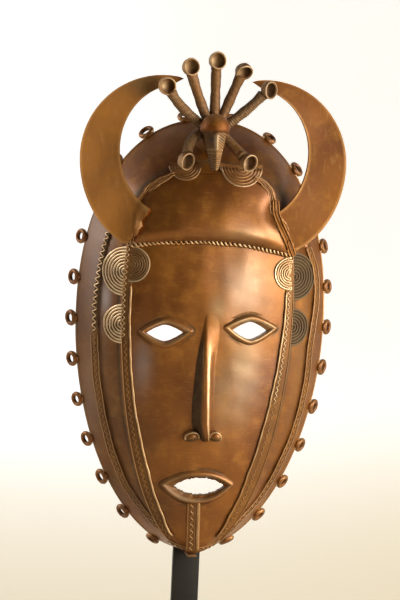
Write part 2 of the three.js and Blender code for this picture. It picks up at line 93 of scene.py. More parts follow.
def black_paint():
    """Sprayed black paint: a fine orange-peel skin in two blacks, and a brown where it has worn off."""
    material, tree, principled, node, ranged, mixed = new_material("black_paint")
    where = node("ShaderNodeTexCoord").outputs["Object"]
    cloud = node("ShaderNodeTexNoise", Vector=where, Scale=22.0, Detail=4.0)
    tone = node("ShaderNodeValToRGB", Fac=cloud.outputs["Fac"])
    tone.color_ramp.elements[0].position = 0.35
    tone.color_ramp.elements[0].color = (0.014, 0.011, 0.008, 1)
    tone.color_ramp.elements[1].position = 0.75
    tone.color_ramp.elements[1].color = (0.026, 0.019, 0.013, 1)
    bare = node("ShaderNodeAttribute", {"attribute_name": "bare"}).outputs["Fac"]
    rubbed_brown = (0.16, 0.075, 0.028, 1)
    tree.links.new(mixed(bare, tone.outputs["Color"], rubbed_brown), principled.inputs["Base Color"])
    tree.links.new(ranged(cloud.outputs["Fac"], 0, 1, 0.62, 0.5), principled.inputs["Roughness"])
    skin = node("ShaderNodeTexNoise", Vector=where, Scale=900.0, Detail=2.0)
    peel = node("ShaderNodeBump", Strength=0.12, Distance=0.0004, Height=skin.outputs["Fac"])
    tree.links.new(peel.outputs["Normal"], principled.inputs["Normal"])
    principled.inputs["Specular IOR Level"].default_value = 0.25
    return material


paint = black_paint()
foot = box_between(
    (-FOOT["width"] / 2, -FOOT["depth"] / 2, 0),
    (FOOT["width"] / 2, FOOT["depth"] / 2, FOOT["height"]),
    FOOT["bevel"],
)
foot.name = "stand_foot_plate"
foot.data.materials.append(paint)
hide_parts("stand_foot")
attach(foot, "root")


# The post is a flat steel bar welded upright on the plate. A tongue near its top reaches up into the
# hollow chin and a small tab, whose paint has worn off, carries the chin's rim.
RIM_Y = 20
CHIN_Z = 125
POST = {"x": -2, "width": 20, "depth": 8, "front": 21.5, "top": 159, "gap": 0.35}
TONGUE = {"z": 150, "thick": 5, "width": 16, "front": -4}
TAB = {"x": -1, "width": 7, "thick": 2, "front": -1.5, "top": 122.65}


def joined(name, parts):
    """One mesh made of several parts, under one name."""
    bpy.ops.object.select_all(action="DESELECT")
    for part in parts:
        part.select_set(True)
    bpy.context.view_layer.objects.active = parts[0]
    if len(parts) > 1:
        bpy.ops.object.join()
    parts[0].name = name
    parts[0].data.name = name
    parts[0].select_set(False)
    return parts[0]


def marked(part, **values):
    """Writes numbers for each vertex, which the material reads by name."""
    count = len(part.data.vertices)
    for name, value in values.items():
        layer = part.data.attributes.get(name) or part.data.attributes.new(name, "FLOAT", "POINT")
        layer.data.foreach_set("value", np.ascontiguousarray(np.broadcast_to(value, count), float))
    return part


bar = box_between(
    (POST["x"] - POST["width"] / 2, POST["front"], FOOT["height"] + POST["gap"]),
    (POST["x"] + POST["width"] / 2, POST["front"] + POST["depth"], POST["top"]),
    0.8,
)
tongue = box_between(
    (POST["x"] - TONGUE["width"] / 2, TONGUE["front"], TONGUE["z"] - TONGUE["thick"] / 2),
    (POST["x"] + TONGUE["width"] / 2, POST["front"] + 1, TONGUE["z"] + TONGUE["thick"] / 2),
    0.6,
)
tab = box_between(
    (TAB["x"] - TAB["width"] / 2, TAB["front"], TAB["top"] - TAB["thick"]),
    (TAB["x"] + TAB["width"] / 2, POST["front"] + 1, TAB["top"]),
    0.6,
)
post = joined("stand_post_bar", [marked(bar, bare=0), marked(tongue, bare=0), marked(tab, bare=1)])
post.data.materials.append(paint)
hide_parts("stand_post")
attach(post, "root")


# The mask is one lost-wax casting in brass, open at the back. Its shell is a sheet of wax 3 mm thick, laid
# over a core: a raised face with a cap above it, and a flank that falls back all round to a plain rim.
# The numbers are millimetres from the middle of the face, the rim's plane and the underside of the chin.
WALL = 3
RIM = {"half": 94, "middle": 175, "above": 147, "below": 177, "above_round": 2.2, "below_round": 1.93}
FACE = {"half": 63.6, "middle": 185, "above": 169, "below": 186, "below_round": 1.96}
CAP = {"half": 61.5, "low": 228, "height": 60, "round": 2.4}
PROFILE = {"brow": 190, "forward": 48.8, "chin_drop": 26, "chin_run": 192, "hair_drop": 8, "hair_run": 98}
CROWN = {"drop": 10.5, "half": 64, "level": 150, "run": 152}
STEP = {"side": 5, "chin": 2, "hair": 2.5}
FLANK_SLOPE = 0.72
PINCH = {"deep": 8.5, "z": 256, "reach": 12}
FACE_BAND = {"width": 6, "chin_width": 4.2, "end": 0.398}
CHANNEL = 1.5
# How far out on the flank the outer band runs, as a share of the flank's width, by angle from the temple
BAND_SHARES = {
    -1: (
        [-1.40, -1.30, -1.19, -1.06, -0.60, -0.28, 0.10, 0.36, 0.54, 0.72],
        [0.0, 0.36, 0.54, 0.575, 0.575, 0.56, 0.56, 0.54, 0.52, 0.48],
    ),
    1: (
        [-1.42, -1.34, -1.25, -1.15, -0.87, -0.55, -0.22, 0.08, 0.28, 0.47, 0.63],
        [0.0, 0.3, 0.55, 0.63, 0.70, 0.67, 0.60, 0.69, 0.75, 0.70, 0.55],
    ),
}


def mix(a, b, share):
    return a + (b - a) * share


def signed_power(value, power):
    return np.sign(value) * np.abs(value) ** power


def eased(share):
    """A share from 0 to 1 that sets out and arrives gently."""
    share = np.clip(share, 0, 1)
    return share * share * (3 - 2 * share)


def rim_shape(angle):
    """The rim's height and roundness, which differ above and below its middle."""
    above = np.sin(angle) > 0
    height = np.where(above, RIM["above"], RIM["below"])
    return height, np.where(above, RIM["above_round"], RIM["below_round"])


def rim_radius(angle):
    height, power = rim_shape(angle)
    across = (np.abs(np.cos(angle)) / RIM["half"]) ** power
    return (across + (np.abs(np.sin(angle)) / height) ** power) ** (-1 / power)


def rim_point(turn):
    """A point of the rim; even turns space the points better than even angles would."""
    height, power = rim_shape(turn)
    x = RIM["half"] * signed_power(np.cos(turn), 2 / power)
    return x, height * signed_power(np.sin(turn), 2 / power)


def pinch(side, z):
    """The cap's right edge is pressed in above the horn's root."""
    return np.where(side > 0, PINCH["deep"] * np.exp(-((z - PINCH["z"]) / PINCH["reach"]) ** 2), 0)


def face_half(z, side=-1):
    """Half the width of the raised face, and of the cap above it, at a height."""

    def bow(half, share, power):
        return half * (1 - np.clip(share, 0, 1) ** power) ** (1 / power)

    cap = bow(CAP["half"], (z - CAP["low"]) / CAP["height"], CAP["round"])
    upper = bow(FACE["half"], (z - FACE["middle"]) / FACE["above"], 2)
    lower = bow(FACE["half"], (FACE["middle"] - z) / FACE["below"], FACE["below_round"])
    return np.where(z > CAP["low"], cap, np.where(z > FACE["middle"], upper, lower)) - pinch(side, z)


# How far the edge of the face is from the rim's middle, at four angles for each degree, found by halving
EDGE_ANGLES = np.linspace(-np.pi, np.pi, 4 * 360 + 1)
low, high = np.zeros(len(EDGE_ANGLES)), rim_radius(EDGE_ANGLES)
for _ in range(30):
    middle = (low + high) / 2
    half = face_half(RIM["middle"] + middle * np.sin(EDGE_ANGLES), np.cos(EDGE_ANGLES))
    inside = middle * np.abs(np.cos(EDGE_ANGLES)) < half
    low, high = np.where(inside, middle, low), np.where(inside, high, middle)
EDGE_RADII = low


def face_radius(angle):
    return np.interp(angle, EDGE_ANGLES, EDGE_RADII, period=2 * np.pi)


def band_radius(angle):
    """Where the face band begins, from the rim's middle."""
    edge = face_radius(angle)
    slant = np.arctan((face_radius(angle + 0.01) - face_radius(angle - 0.01)) / 0.02 / edge)
    z = RIM["middle"] + edge * np.sin(angle)
    width = mix(FACE_BAND["chin_width"], FACE_BAND["width"], np.clip(z / 60, 0, 1))
    return edge - np.minimum(width / np.cos(slant), edge / 3)


def face_plate(x, z):
    """How far forward the face lies: a long bow from hairline to chin, rounded from side to side."""
    from_brow = np.abs(z - PROFILE["brow"])
    hair = PROFILE["forward"] - PROFILE["hair_drop"] * (from_brow / PROFILE["hair_run"]) ** 2
    chin = PROFILE["forward"] - PROFILE["chin_drop"] * (from_brow / PROFILE["chin_run"]) ** 2.2
    down = np.clip((CROWN["level"] - z) / CROWN["run"], 0, 0.97)
    narrow = np.sqrt(1 - down * down)
    middle = np.where(z > PROFILE["brow"], hair, chin)
    return middle - CROWN["drop"] * np.sqrt(narrow) * (x / CROWN["half"] / narrow) ** 2


def flank_foot(angle, edge):
    """How far forward the flank begins, a step behind the face's edge."""
    up = np.sin(angle)
    above, below = mix(STEP["side"], STEP["hair"], up ** 2), mix(STEP["side"], STEP["chin"], up ** 8)
    step = np.where(up > 0, above, below)
    return face_plate(edge * np.cos(angle), RIM["middle"] + edge * up) - step


def flank_place(x, z):
    """A point's angle on the flank, the face's edge there, and its share of the way to the rim."""
    angle = np.arctan2(z - RIM["middle"], x)
    edge = face_radius(angle)
    share = (np.hypot(x, z - RIM["middle"]) - edge) / (rim_radius(angle) - edge)
    return angle, edge, np.minimum(share, 1.2)


def plain_flank(x, z):
    """How far forward the flank lies, before its channel is sunk."""
    angle, edge, t = flank_place(x, z)
    return flank_foot(angle, edge) * (1 - FLANK_SLOPE * t - (1 - FLANK_SLOPE) * t * np.abs(t))


def flank(x, z):
    """The flank, with a channel sunk between the face's edge and the outer band."""
    angle, edge, t = flank_place(x, z)
    up = np.arcsin(np.clip(np.sin(angle), -1, 1))
    share = np.where(x < 0, np.interp(up, *BAND_SHARES[-1]), np.interp(up, *BAND_SHARES[1]))
    sunk = eased((share - t) / 0.06) * eased((0.8 - up) / 0.12) * eased((up + 1.32) / 0.2)
    return plain_flank(x, z) - CHANNEL * sunk


def surface(x, z):
    """How far forward the shell lies: the face, the slope of its band, and the flank."""
    angle = np.arctan2(z - RIM["middle"], x)
    r = np.hypot(x, z - RIM["middle"])
    edge, band = face_radius(angle), band_radius(angle)
    ramp = mix(face_plate(x, z), flank_foot(angle, edge), np.clip((r - band) / (edge - band), 0, 1))
    return np.where(r >= edge, flank(x, z), np.where(r < band, face_plate(x, z), ramp))


def unevenness(x, z):
    """The slow swells and dents that a hand leaves in a sheet of wax."""
    return (
        0.22 * np.sin(x / 9.1 + 1.3) * np.sin(z / 13.7 + 0.4)
        + 0.16 * np.sin(x / 5.3 - z / 11.9 + 2.1)
        + 0.10 * np.sin(x / 3.7 + z / 4.9) * np.sin(z / 6.1 - x / 8.3)
    )


def laid(level, x, z, rise=0.0):
    """Points raised from a surface along its normal, and the normals."""
    d = 0.5
    slope_x = (level(x + d, z) - level(x - d, z)) / (2 * d)
    slope_z = (level(x, z + d) - level(x, z - d)) / (2 * d)
    normal = np.stack([-slope_x, -np.ones_like(slope_x), -slope_z], -1)
    normal /= np.linalg.norm(normal, axis=-1, keepdims=True)
    points = np.stack([x, -level(x, z), z], -1) + normal * np.asarray(rise)[..., None]
    return points, normal


def placed(part, points):
    """Moves a part's vertices to points in the mask's own frame."""
    points = (np.asarray(points) + np.array([0, RIM_Y, CHIN_Z])) * MM
    part.data.vertices.foreach_set("co", points.astype(np.float32).ravel())
    part.data.update()
    return part


def cells(part):
    """The coordinates of a part's vertices."""
    at = np.empty(len(part.data.vertices) * 3)
    part.data.vertices.foreach_get("co", at)
    return at.reshape(-1, 3)


def closed(part, smooth=1.1):
    """Welds the seams of a shaped part, closes its open ends and turns its faces outwards."""
    bpy.ops.object.select_all(action="DESELECT")
    bpy.context.view_layer.objects.active = part
    part.select_set(True)
    bpy.ops.object.mode_set(mode="EDIT")
    bpy.ops.mesh.select_all(action="SELECT")
    bpy.ops.mesh.remove_doubles(threshold=2e-6)
    bpy.ops.mesh.fill_holes(sides=0)
    bpy.ops.mesh.normals_make_consistent(inside=False)
    bpy.ops.object.mode_set(mode="OBJECT")
    bpy.ops.object.shade_smooth_by_angle(angle=smooth)
    part.select_set(False)
    return part


def sheet(columns, rows):
    """A flat grid to be shaped, with each vertex's column and row."""
    bpy.ops.mesh.primitive_grid_add(x_subdivisions=columns, y_subdivisions=rows, size=2)
    part = bpy.context.object
    at = (cells(part) + 1) / 2
    return part, np.rint(at[:, 0] * columns).astype(int), np.rint(at[:, 1] * rows).astype(int)


# The rows of the shell run from the middle of the face out to the rim and back inside to the middle:
# 0 is the middle, 1 the inner edge of the face band, 2 the face's edge and 3 the rim.
SHELL_AROUND = 256
OUTSIDE_ROWS = np.r_[np.linspace(0, 1, 37)[:-1], np.linspace(1, 2, 6)[:-1], np.linspace(2, 3, 27)[:-1]]
INSIDE_ROWS = np.r_[np.linspace(3, 2, 15)[1:-1], np.linspace(2, 1, 5)[:-1], np.linspace(1, 0, 19)]
# The rim's rounded edge, from the outside round to the inside: millimetres inward and forward
EDGE_ROUNDING = [(0.0, 0.9), (0.35, 0.25), (1.0, 0.0), (2.0, 0.0), (2.65, 0.25), (3.0, 0.9)]


def row_point(angle, row):
    """The point on a row of the shell that lies at an angle from the rim's middle."""
    radii = np.stack([np.zeros_like(angle), band_radius(angle), face_radius(angle), rim_radius(angle)], -1)
    inner = np.clip(np.floor(row), 0, 2).astype(int)
    index = np.arange(len(angle))
    r = mix(radii[index, inner], radii[index, inner + 1], row - inner)
    return r * np.cos(angle), RIM["middle"] + r * np.sin(angle)


# Where the shell is lighter, partly rubbed by hands and cloth and partly a painted highlight on its lit
# right
# side; where a painted grey sheen stands for reflections; and where painted shade darkens the left of the
# face:
# the middle, half the width, half the height and how much, from 0 to 1
WORN_AND_PAINTED_HIGHLIGHTS = [
    (25, 200, 14, 20, 0.30), (7, 184, 6, 10, 0.42), (27, 143, 12, 28, 0.44), (15, 122, 9, 26, 0.34),
    (24, 110, 10, 16, 0.22), (26, 239, 20, 5, 0.30), (75, 150, 9, 50, 0.12),
]
PAINTED_SHEENS = [
    (30, 130, 10, 24, 0.24), (-46.5, 141, 6.5, 19, 0.55), (-74, 187, 3.6, 12, 1.0), (-80, 200, 9, 45, 0.35),
    (-80, 120, 8, 50, 0.2), (26, 200, 15, 20, 0.30),
]
PAINTED_SHADES = [(-42, 80, 9, 28, 0.42), (-52, 130, 5, 34, 0.25), (-27, 34, 14, 18, 0.4)]
# The painted shadow that the horns cast behind their roots, whose line also leans with height
HORN_SHADOWS = [(52, 268, 7, 16, 1.0, 0.5), (-50, 262, 9, 18, 0.8, -0.5)]


def spot(x, z, at_x, at_z, wide, tall, much, lean=0):
    """A soft spot, strongest in its middle."""
    return much * np.exp(-((x - at_x + (z - at_z) * lean) / wide) ** 2 - ((z - at_z) / tall) ** 2)


def spotted(spots, x, z):
    return np.maximum.reduce([spot(x, z, *values) for values in spots])


def shell_dirt_and_shade(x, z, row):
    """Darkening: old dirt at the foot of the step, and painted shade behind the horns, down the left flank
    and its channel and on the face's left.
    """
    step_foot = np.clip(1 - np.abs(row - 2.05) * 12, 0, 1)
    shadow_behind_horns = spotted(HORN_SHADOWS, x, z) * (row > 1.9)
    shaded_left_flank = 0.45 * eased((-45 - x) / 15) * eased((row - 2) / 0.3) * eased((290 - z) / 40)
    in_channel = (row > 2) * eased((2.64 - row) / 0.1)
    shaded_left_channel = 0.45 * eased((-20 - x) / 20) * in_channel * eased((190 - z) / 60)
    shaded_left_face = spotted(PAINTED_SHADES, x, z) * (row < 1)
    return np.maximum.reduce([step_foot, shadow_behind_horns, shaded_left_flank, shaded_left_channel, shaded_left_face])


def shell():
    """The whole sheet: a sphere's rings and segments, laid over the front, round the rim and inside."""
    rows = len(OUTSIDE_ROWS) + len(EDGE_ROUNDING) + len(INSIDE_ROWS)
    bpy.ops.mesh.primitive_uv_sphere_add(segments=SHELL_AROUND, ring_count=rows - 1, radius=1)
    part = bpy.context.object
    at = cells(part)
    place = np.rint(np.arccos(np.clip(at[:, 2], -1, 1)) / np.pi * (rows - 1)).astype(int)
    turn = np.arctan2(at[:, 1], at[:, 0])
    rim_x, rim_z = rim_point(turn)
    angle = np.arctan2(rim_z, rim_x)
    steps = np.r_[OUTSIDE_ROWS, np.full(len(EDGE_ROUNDING), 3.0), INSIDE_ROWS][place]
    x, z = row_point(angle, steps)
    front, normal = laid(surface, x, z)
    even = np.clip((3 - steps) * 4, 0, 1)
    points = front + normal * (unevenness(x, z) * even)[:, None]
    inner = place >= len(OUTSIDE_ROWS) + len(EDGE_ROUNDING)
    points[inner] -= normal[inner] * WALL
    edge = place - len(OUTSIDE_ROWS)
    for k, (inward, forward) in enumerate(EDGE_ROUNDING):
        here = edge == k
        narrower = 1 - inward / np.hypot(x[here], z[here] - RIM["middle"])
        points[here, 0] = x[here] * narrower
        points[here, 1] = -forward
        points[here, 2] = RIM["middle"] + (z[here] - RIM["middle"]) * narrower
    placed(part, points)
    # The shell is lighter where it is worn and where a highlight is painted on, carries a painted sheen, and
    # is darker with dirt inside and with dirt and painted shade outside
    edge_rub = np.where(np.abs(edge - 2) < 2.5, 0.55, 0.0)
    marked(part, rub=np.maximum(edge_rub, spotted(WORN_AND_PAINTED_HIGHLIGHTS, x, z) * ~inner))
    marked(part, bloom=spotted(PAINTED_SHEENS, x, z) * ~inner, soot=np.where(inner, 0.75, shell_dirt_and_shade(x, z, steps)))
    return closed(part, 0.9)


# Eyes and mouth are slots, each in a frame of two bows that meet in points. Round the slot lies a
# sunken shelf, and the frame itself is a rounded roll of wax.
SLOT_STEPS = 96
# For each slot its middle, the frame's half width and its heights above and below, the size of the roll,
# how full the bows are and how far they tilt; then the hole in the same way, and how bright or dull the
# roll is: its polish is partly a painted highlight, strongest round the right eye, and its dullness is
# painted shade on the left of the mouth's frame
EYES = [
    {
        "x": -30.8, "z": 165.2, "half": 17.9, "up": 8.6, "down": 10.6, "rim": 1.1, "bow": 1.5, "tilt": 0.055,
        "hole_x": -1.0, "hole_z": -1.0, "hole_half": 13.3, "hole_up": 5.8, "hole_down": 6.2,
        "polish_and_highlight": 0.9, "dull": 0.0,
    },
    {
        "x": 31.3, "z": 170.2, "half": 18.6, "up": 7.6, "down": 11.0, "rim": 1.1, "bow": 1.5, "tilt": 0.01,
        "hole_x": 0.0, "hole_z": -2.0, "hole_half": 13.2, "hole_up": 6.2, "hole_down": 6.6,
        "polish_and_highlight": 2.6, "dull": 0.0,
    },
]
MOUTH = {
    "x": -1.6, "z": 52.4, "half": 25.8, "up": 8.6, "down": 13.4, "rim": 1.2, "bow": 2.3, "tilt": 0.025,
    "hole_x": 1.9, "hole_z": -1.9, "hole_half": 19.4, "hole_up": 6.5, "hole_down": 6.5,
    "polish_and_highlight": 0.7, "dull": 0.5,
}
FRAME_LINE = ("half", "up", "down", "bow")
HOLE_LINE = ("hole_half", "hole_up", "hole_down", "bow")
# How far from the frame's line toward the slot, how far outward in millimetres, the rise and the polish,
# partly wear and partly a painted highlight on the roll's inner crest
FRAME_PROFILE = [
    (0, 4.2, -0.9, 0), (0, 3.8, 0.08, 0), (0, 3.0, 0.0, 0), (0, 2.4, -0.12, 0), (0, 1.9, 0.1, 0),
    (0, 1.4, 0.8, 0.05), (0, 0.8, 1.5, 0.1), (0, 0.1, 1.85, 0.15), (0, -0.6, 1.95, 0.35),
    (0, -1.2, 1.65, 0.85), (0.12, -1.5, 1.15, 0.7), (0.35, -1.2, 0.5, 0.1), (0.7, -0.3, 0.05, 0.05),
    (0.94, 0, -0.3, 0.3), (1, 0, -0.8, 0.2), (1, 0, -WALL + 0.2, 0), (0.9, 0, -WALL - 0.25, 0),
    (0.2, 0, -WALL - 0.1, 0), (0, 3.0, -WALL + 0.8, 0),
]


def bow_point(turn, half, up, down, power):
    """A point on two bows, one above and one below, by its share of the way round."""
    across, above = np.cos(turn * 2 * np.pi), np.sin(turn * 2 * np.pi) > 0
    return half * across, np.where(above, up, -down) * (1 - np.abs(across) ** power)


def slot_frame(slot, ragged):
    """The roll and the shelf round a slot, with the slot's own edge left a little ragged."""
    part, column, row = sheet(SLOT_STEPS, len(FRAME_PROFILE))
    share, outward, rise, polish_and_highlight = np.array(FRAME_PROFILE + FRAME_PROFILE[:1]).T[:, row]
    turn = (column % SLOT_STEPS) / SLOT_STEPS
    line, hole = [slot[name] for name in FRAME_LINE], [slot[name] for name in HOLE_LINE]
    frame_x, frame_z = bow_point(turn, *line)
    hole_x, hole_z = bow_point(turn, *hole)
    nick = ragged * (np.sin(turn * 97) + np.sin(turn * 211 + 1) + np.sin(turn * 331 + 2)) / 3
    hole_x = slot["hole_x"] + hole_x * (1 + nick / 18)
    hole_z = slot["hole_z"] + hole_z * (1 + nick / 6)
    x, z = mix(frame_x, hole_x, share), mix(frame_z, hole_z, share)
    after, before = (np.array(bow_point(turn + step, *line)) for step in (0.02, -0.02))
    across, along = (after - before)[::-1] / np.hypot(*(after - before))
    inwards = np.minimum(outward, 0) * slot["rim"] / np.maximum(np.hypot(x, z), 1)
    outwards = np.maximum(outward, 0) * slot["rim"]
    x, z = x * (1 + inwards) + across * outwards, z * (1 + inwards) - along * outwards
    z = z + x * slot["tilt"]
    points, _ = laid(face_plate, slot["x"] + x, slot["z"] + z, rise * slot["rim"])
    placed(part, points)
    # Painted shade in the groove round the roll and on the slot's inner wall; the roll's polish is partly a
    # painted highlight, and the slot's dull share is painted shade on its left
    groove_shade = np.clip(1 - np.abs(outward - 2.4) / 1.2, 0, 1) * (rise > -0.5)
    through = (rise <= -1).astype(float)
    uneven = 0.75 + 0.25 * np.sin(turn * 23 + slot["x"])
    dull = slot["dull"] * eased((0.1 - x / slot["half"]) / 0.5)
    rub = np.clip(polish_and_highlight * uneven * slot["polish_and_highlight"], 0, 1) * (1 - dull)
    soot = np.maximum.reduce([groove_shade * 0.95, through * 0.8, dull])
    return closed(marked(part, rub=rub, soot=soot), 1.2)


def slot_cutter(slot):
    """A lens-shaped bar through the shell, a little smaller than the frame's roll."""
    bpy.ops.mesh.primitive_cylinder_add(vertices=64, radius=1, depth=2)
    bar = bpy.context.object
    at = cells(bar)
    turn = np.arctan2(at[:, 1], at[:, 0]) / (2 * np.pi)
    x, z = bow_point(turn, slot["half"] - 1.6, slot["up"] - 1, slot["down"] - 1, slot["bow"])
    z = z + x * slot["tilt"]
    return placed(bar, np.stack([slot["x"] + x, at[:, 2] * 40 - 35, slot["z"] + z], -1))


def cut(part, cutters):
    """Takes the cutters out of a part."""
    for cutter in cutters:
        closed(cutter)
        bpy.context.view_layer.objects.active = part
        taken = part.modifiers.new("slot", "BOOLEAN")
        taken.operation = "DIFFERENCE"
        taken.solver = "EXACT"
        taken.object = cutter
        bpy.ops.object.modifier_apply(modifier=taken.name)
        bpy.data.objects.remove(cutter)
    return part


# The cap is a second sheet of wax that swells forward over the forehead braid and dies away upward.
BRAID = {"z": 232, "left_sag": 4.6, "right_sag": 7.6, "half": 58, "width": 4.6, "turns": 18}
BULGE = {"forward": 9.5, "half": 56.5, "columns": 96, "rows": 104}


def braid_level(x):
    return BRAID["z"] - np.where(x < 0, BRAID["left_sag"], BRAID["right_sag"]) * (x / BRAID["half"]) ** 2


def cap_reach(x):
    """Where the cap begins, at the braid, and where it ends, at the hairline."""
    bow = np.abs(1 - np.minimum(np.abs(x / CAP["half"]), 1) ** CAP["round"]) ** (1 / CAP["round"])
    low = braid_level(x)
    return low, np.maximum(CAP["low"] + (CAP["height"] - 5) * bow, low + 2)


def cap_level(x, z):
    """How far forward the cap lies: it swells out at once above the braid and dies away upward."""
    low, high = cap_reach(x)
    up = np.clip((z - low) / (high - low), 0, 1)
    across = np.arcsin(np.clip(x / BULGE["half"], -1, 1)) / (np.pi / 2)
    lip = np.sqrt(np.clip(1 - (1 - np.minimum(up / 0.22, 1)) ** 2, 0, 1))
    fall = np.cos(np.clip((up - 0.2) / 0.8, 0, 1) * np.pi / 2)
    return face_plate(x, z) + 0.2 + BULGE["forward"] * lip * fall * (1 - np.abs(across) ** 3)


def cap_pinch(x, z):
    return pinch(x, z) * np.clip(x / 50, 0, 1) ** 3


def cap_front(x, z):
    """The cap's surface with its right edge pinched in."""
    return cap_level(x + cap_pinch(x, z), z)


def cap():
    """The cap's front, from the braid up, and then its back, from the hairline down, sunk in the shell."""
    columns, rows = BULGE["columns"], BULGE["rows"]
    part, column, row = sheet(columns, rows)
    across = column / (columns / 2) - 1
    up = (1 - np.abs(row / (rows / 2) - 1)) ** 1.6
    x = BULGE["half"] * np.sin(across * np.pi / 2)
    z = mix(*cap_reach(x), up)
    forward = cap_level(x, z) + unevenness(x, z) * np.clip(up * 8, 0, 1)
    x = x - cap_pinch(x, z)
    behind = (row == 0) | (row >= rows / 2) | (column == 0) | (column == columns)
    forward = np.where(behind, face_plate(x, z) - WALL * 0.6, forward)
    placed(part, np.stack([x, -forward, z], -1))
    # Painted shade under the cap's lip, where it turns in over the braid, and painted highlights with the
    # wear on the cap's right
    shade_under_lip = np.maximum(np.clip(1 - up / 0.03, 0, 1), 0.3 * np.exp(-(up / 0.09) ** 2))
    return closed(marked(part, rub=spotted(WORN_AND_PAINTED_HIGHLIGHTS, x, z), soot=shade_under_lip), 1.0)


# The nose is a long ridge, nearly upright on its left side, and ends in two curled nostrils.
NOSE = {"top": 188, "tip": 84.6, "columns": 48, "rows": 120}
# Along the ridge from 0 at the brow to 1 at the tip: its line, the width to either side and the height
NOSE_RUN = [0, 0.06, 0.12, 0.18, 0.25, 0.33, 0.47, 0.72, 0.87, 0.94, 0.975, 1]
NOSE_LINE = [-1.2, -1.3, -1.4, -1.5, -1.5, -1.5, -1.3, -0.5, 0.4, 1.7, 2.6, 2.8]
NOSE_LEFT = [2.4, 2.6, 3.0, 3.6, 4.5, 5.8, 7.2, 9.2, 9.6, 8.0, 4.8, 2.2]
NOSE_RIGHT = [19, 17, 14, 12, 11, 9.8, 8.4, 8.0, 7.2, 5.0, 3.4, 2.2]
NOSE_HEIGHTS = [0, 0.05, 0.35, 0.95, 2.1, 4.2, 8.2, 11.6, 12.6, 12.4, 11.0, 4.0]
# Across the ridge at the brow: a long slope that runs out to the right
BROW_ACROSS = [-1, -0.75, -0.4, -0.1, 0.05, 0.45, 0.9, 1]
BROW_SHAPE = [0, 0.1, 0.62, 0.98, 1.0, 0.56, 0.05, 0]
# Across the ridge further down: a steep dark left side, a flat top that faces a little to the right, and
# a short right side
NOSE_ACROSS = [-1, -0.8, -0.55, -0.36, -0.26, 0.1, 0.3, 0.46, 0.78, 1]
NOSE_SHAPE = [0, 0.06, 0.40, 0.86, 1.0, 1.01, 0.96, 0.74, 0.14, 0]
NOSTRILS = {-1: {"x": -8.2, "z": 88.6, "across": 6.6}, 1: {"x": 9.2, "z": 89.2, "across": 5.2}}
NOSTRIL = {"tall": 4.8, "forward": 6.4}


def softened(places, at, values, width):
    """A table read with its corners rounded off."""
    samples = np.linspace(min(at), max(at), 401)
    weights = np.hanning(width)
    padded = np.pad(np.interp(samples, at, values), width // 2, mode="edge")
    return np.interp(places, samples, np.convolve(padded, weights / weights.sum(), "valid"))


def nose():
    """The ridge, sunk along its hem, with painted shade down its left side and a little on its right, and a
    painted highlight along its ridge.
    """
    part, column, row = sheet(NOSE["columns"], NOSE["rows"])
    across = column / (NOSE["columns"] / 2) - 1
    down = row / NOSE["rows"]
    z = mix(NOSE["top"], NOSE["tip"], down)
    left, right = (softened(down, NOSE_RUN, halves, 31) for halves in (NOSE_LEFT, NOSE_RIGHT))
    x = softened(down, NOSE_RUN, NOSE_LINE, 41) + across * np.where(across < 0, left, right)
    soft, crisp = (softened(down, NOSE_RUN, NOSE_HEIGHTS, width) for width in (61, 15))
    height = mix(soft, crisp, down)
    at_brow = softened(across, BROW_ACROSS, BROW_SHAPE, 41)
    below_brow = softened(across, NOSE_ACROSS, NOSE_SHAPE, 31)
    ridge = height * mix(at_brow, below_brow, eased((down - 0.18) / 0.3))
    edge = (np.abs(across) > 0.99) | (row == 0) | (row == NOSE["rows"])
    forward = face_plate(x, z) + unevenness(x, z) + np.where(edge, -0.8, ridge - 0.3 * np.exp(-ridge / 0.3))
    placed(part, np.stack([x, -forward, z], -1))
    # A painted highlight along the ridge, and painted shade down the nose's left side and a little on its
    # right
    ridge_highlight = np.exp(-((across - 0.28) / 0.13) ** 2) * eased((down - 0.22) / 0.2)
    beside = np.clip((-0.24 - across) * 7, 0, 1) * 0.95 + np.clip((across - 0.8) / 0.15, 0, 1) * 0.3
    soot = beside * eased((down - 0.12) / 0.2)
    return closed(marked(part, rub=np.maximum(ridge_highlight, spotted(WORN_AND_PAINTED_HIGHLIGHTS, x, z)), soot=soot), 1.3)


def swept(points, up, section, scale=1.0):
    """A closed outline carried along a line of points; the outline's second number runs along "up"."""
    points = np.asarray(points, float)
    along = np.vstack([points[1:], points[-1:]]) - np.vstack([points[:1], points[:-1]])
    along /= np.linalg.norm(along, axis=1, keepdims=True)
    side = np.cross(along, up)
    side /= np.linalg.norm(side, axis=1, keepdims=True)
    top = np.cross(side, along)
    section = np.asarray(section, float)
    part, column, row = sheet(len(points) - 1, len(section))
    row = row % len(section)
    scale = np.broadcast_to(np.asarray(scale, float), len(points))[column, None]
    place = points[column] + scale * (side[column] * section[row, :1] + top[column] * section[row, 1:])
    placed(part, place)
    return part, column, row


def round_section(radius, sides):
    """A circle's outline, as a polygon."""
    turn = np.arange(sides) / sides * 2 * np.pi
    return np.stack([radius * np.cos(turn), radius * np.sin(turn)], -1)


def tapered(count):
    """Full size along a line and drawn in to a point at both ends."""
    near = np.minimum(np.arange(count), np.arange(count)[::-1])
    return np.where(near == 0, 0.001, np.sqrt(1 - (1 - np.clip(near / 2, 0, 1)) ** 2) * 0.3 + 0.7)


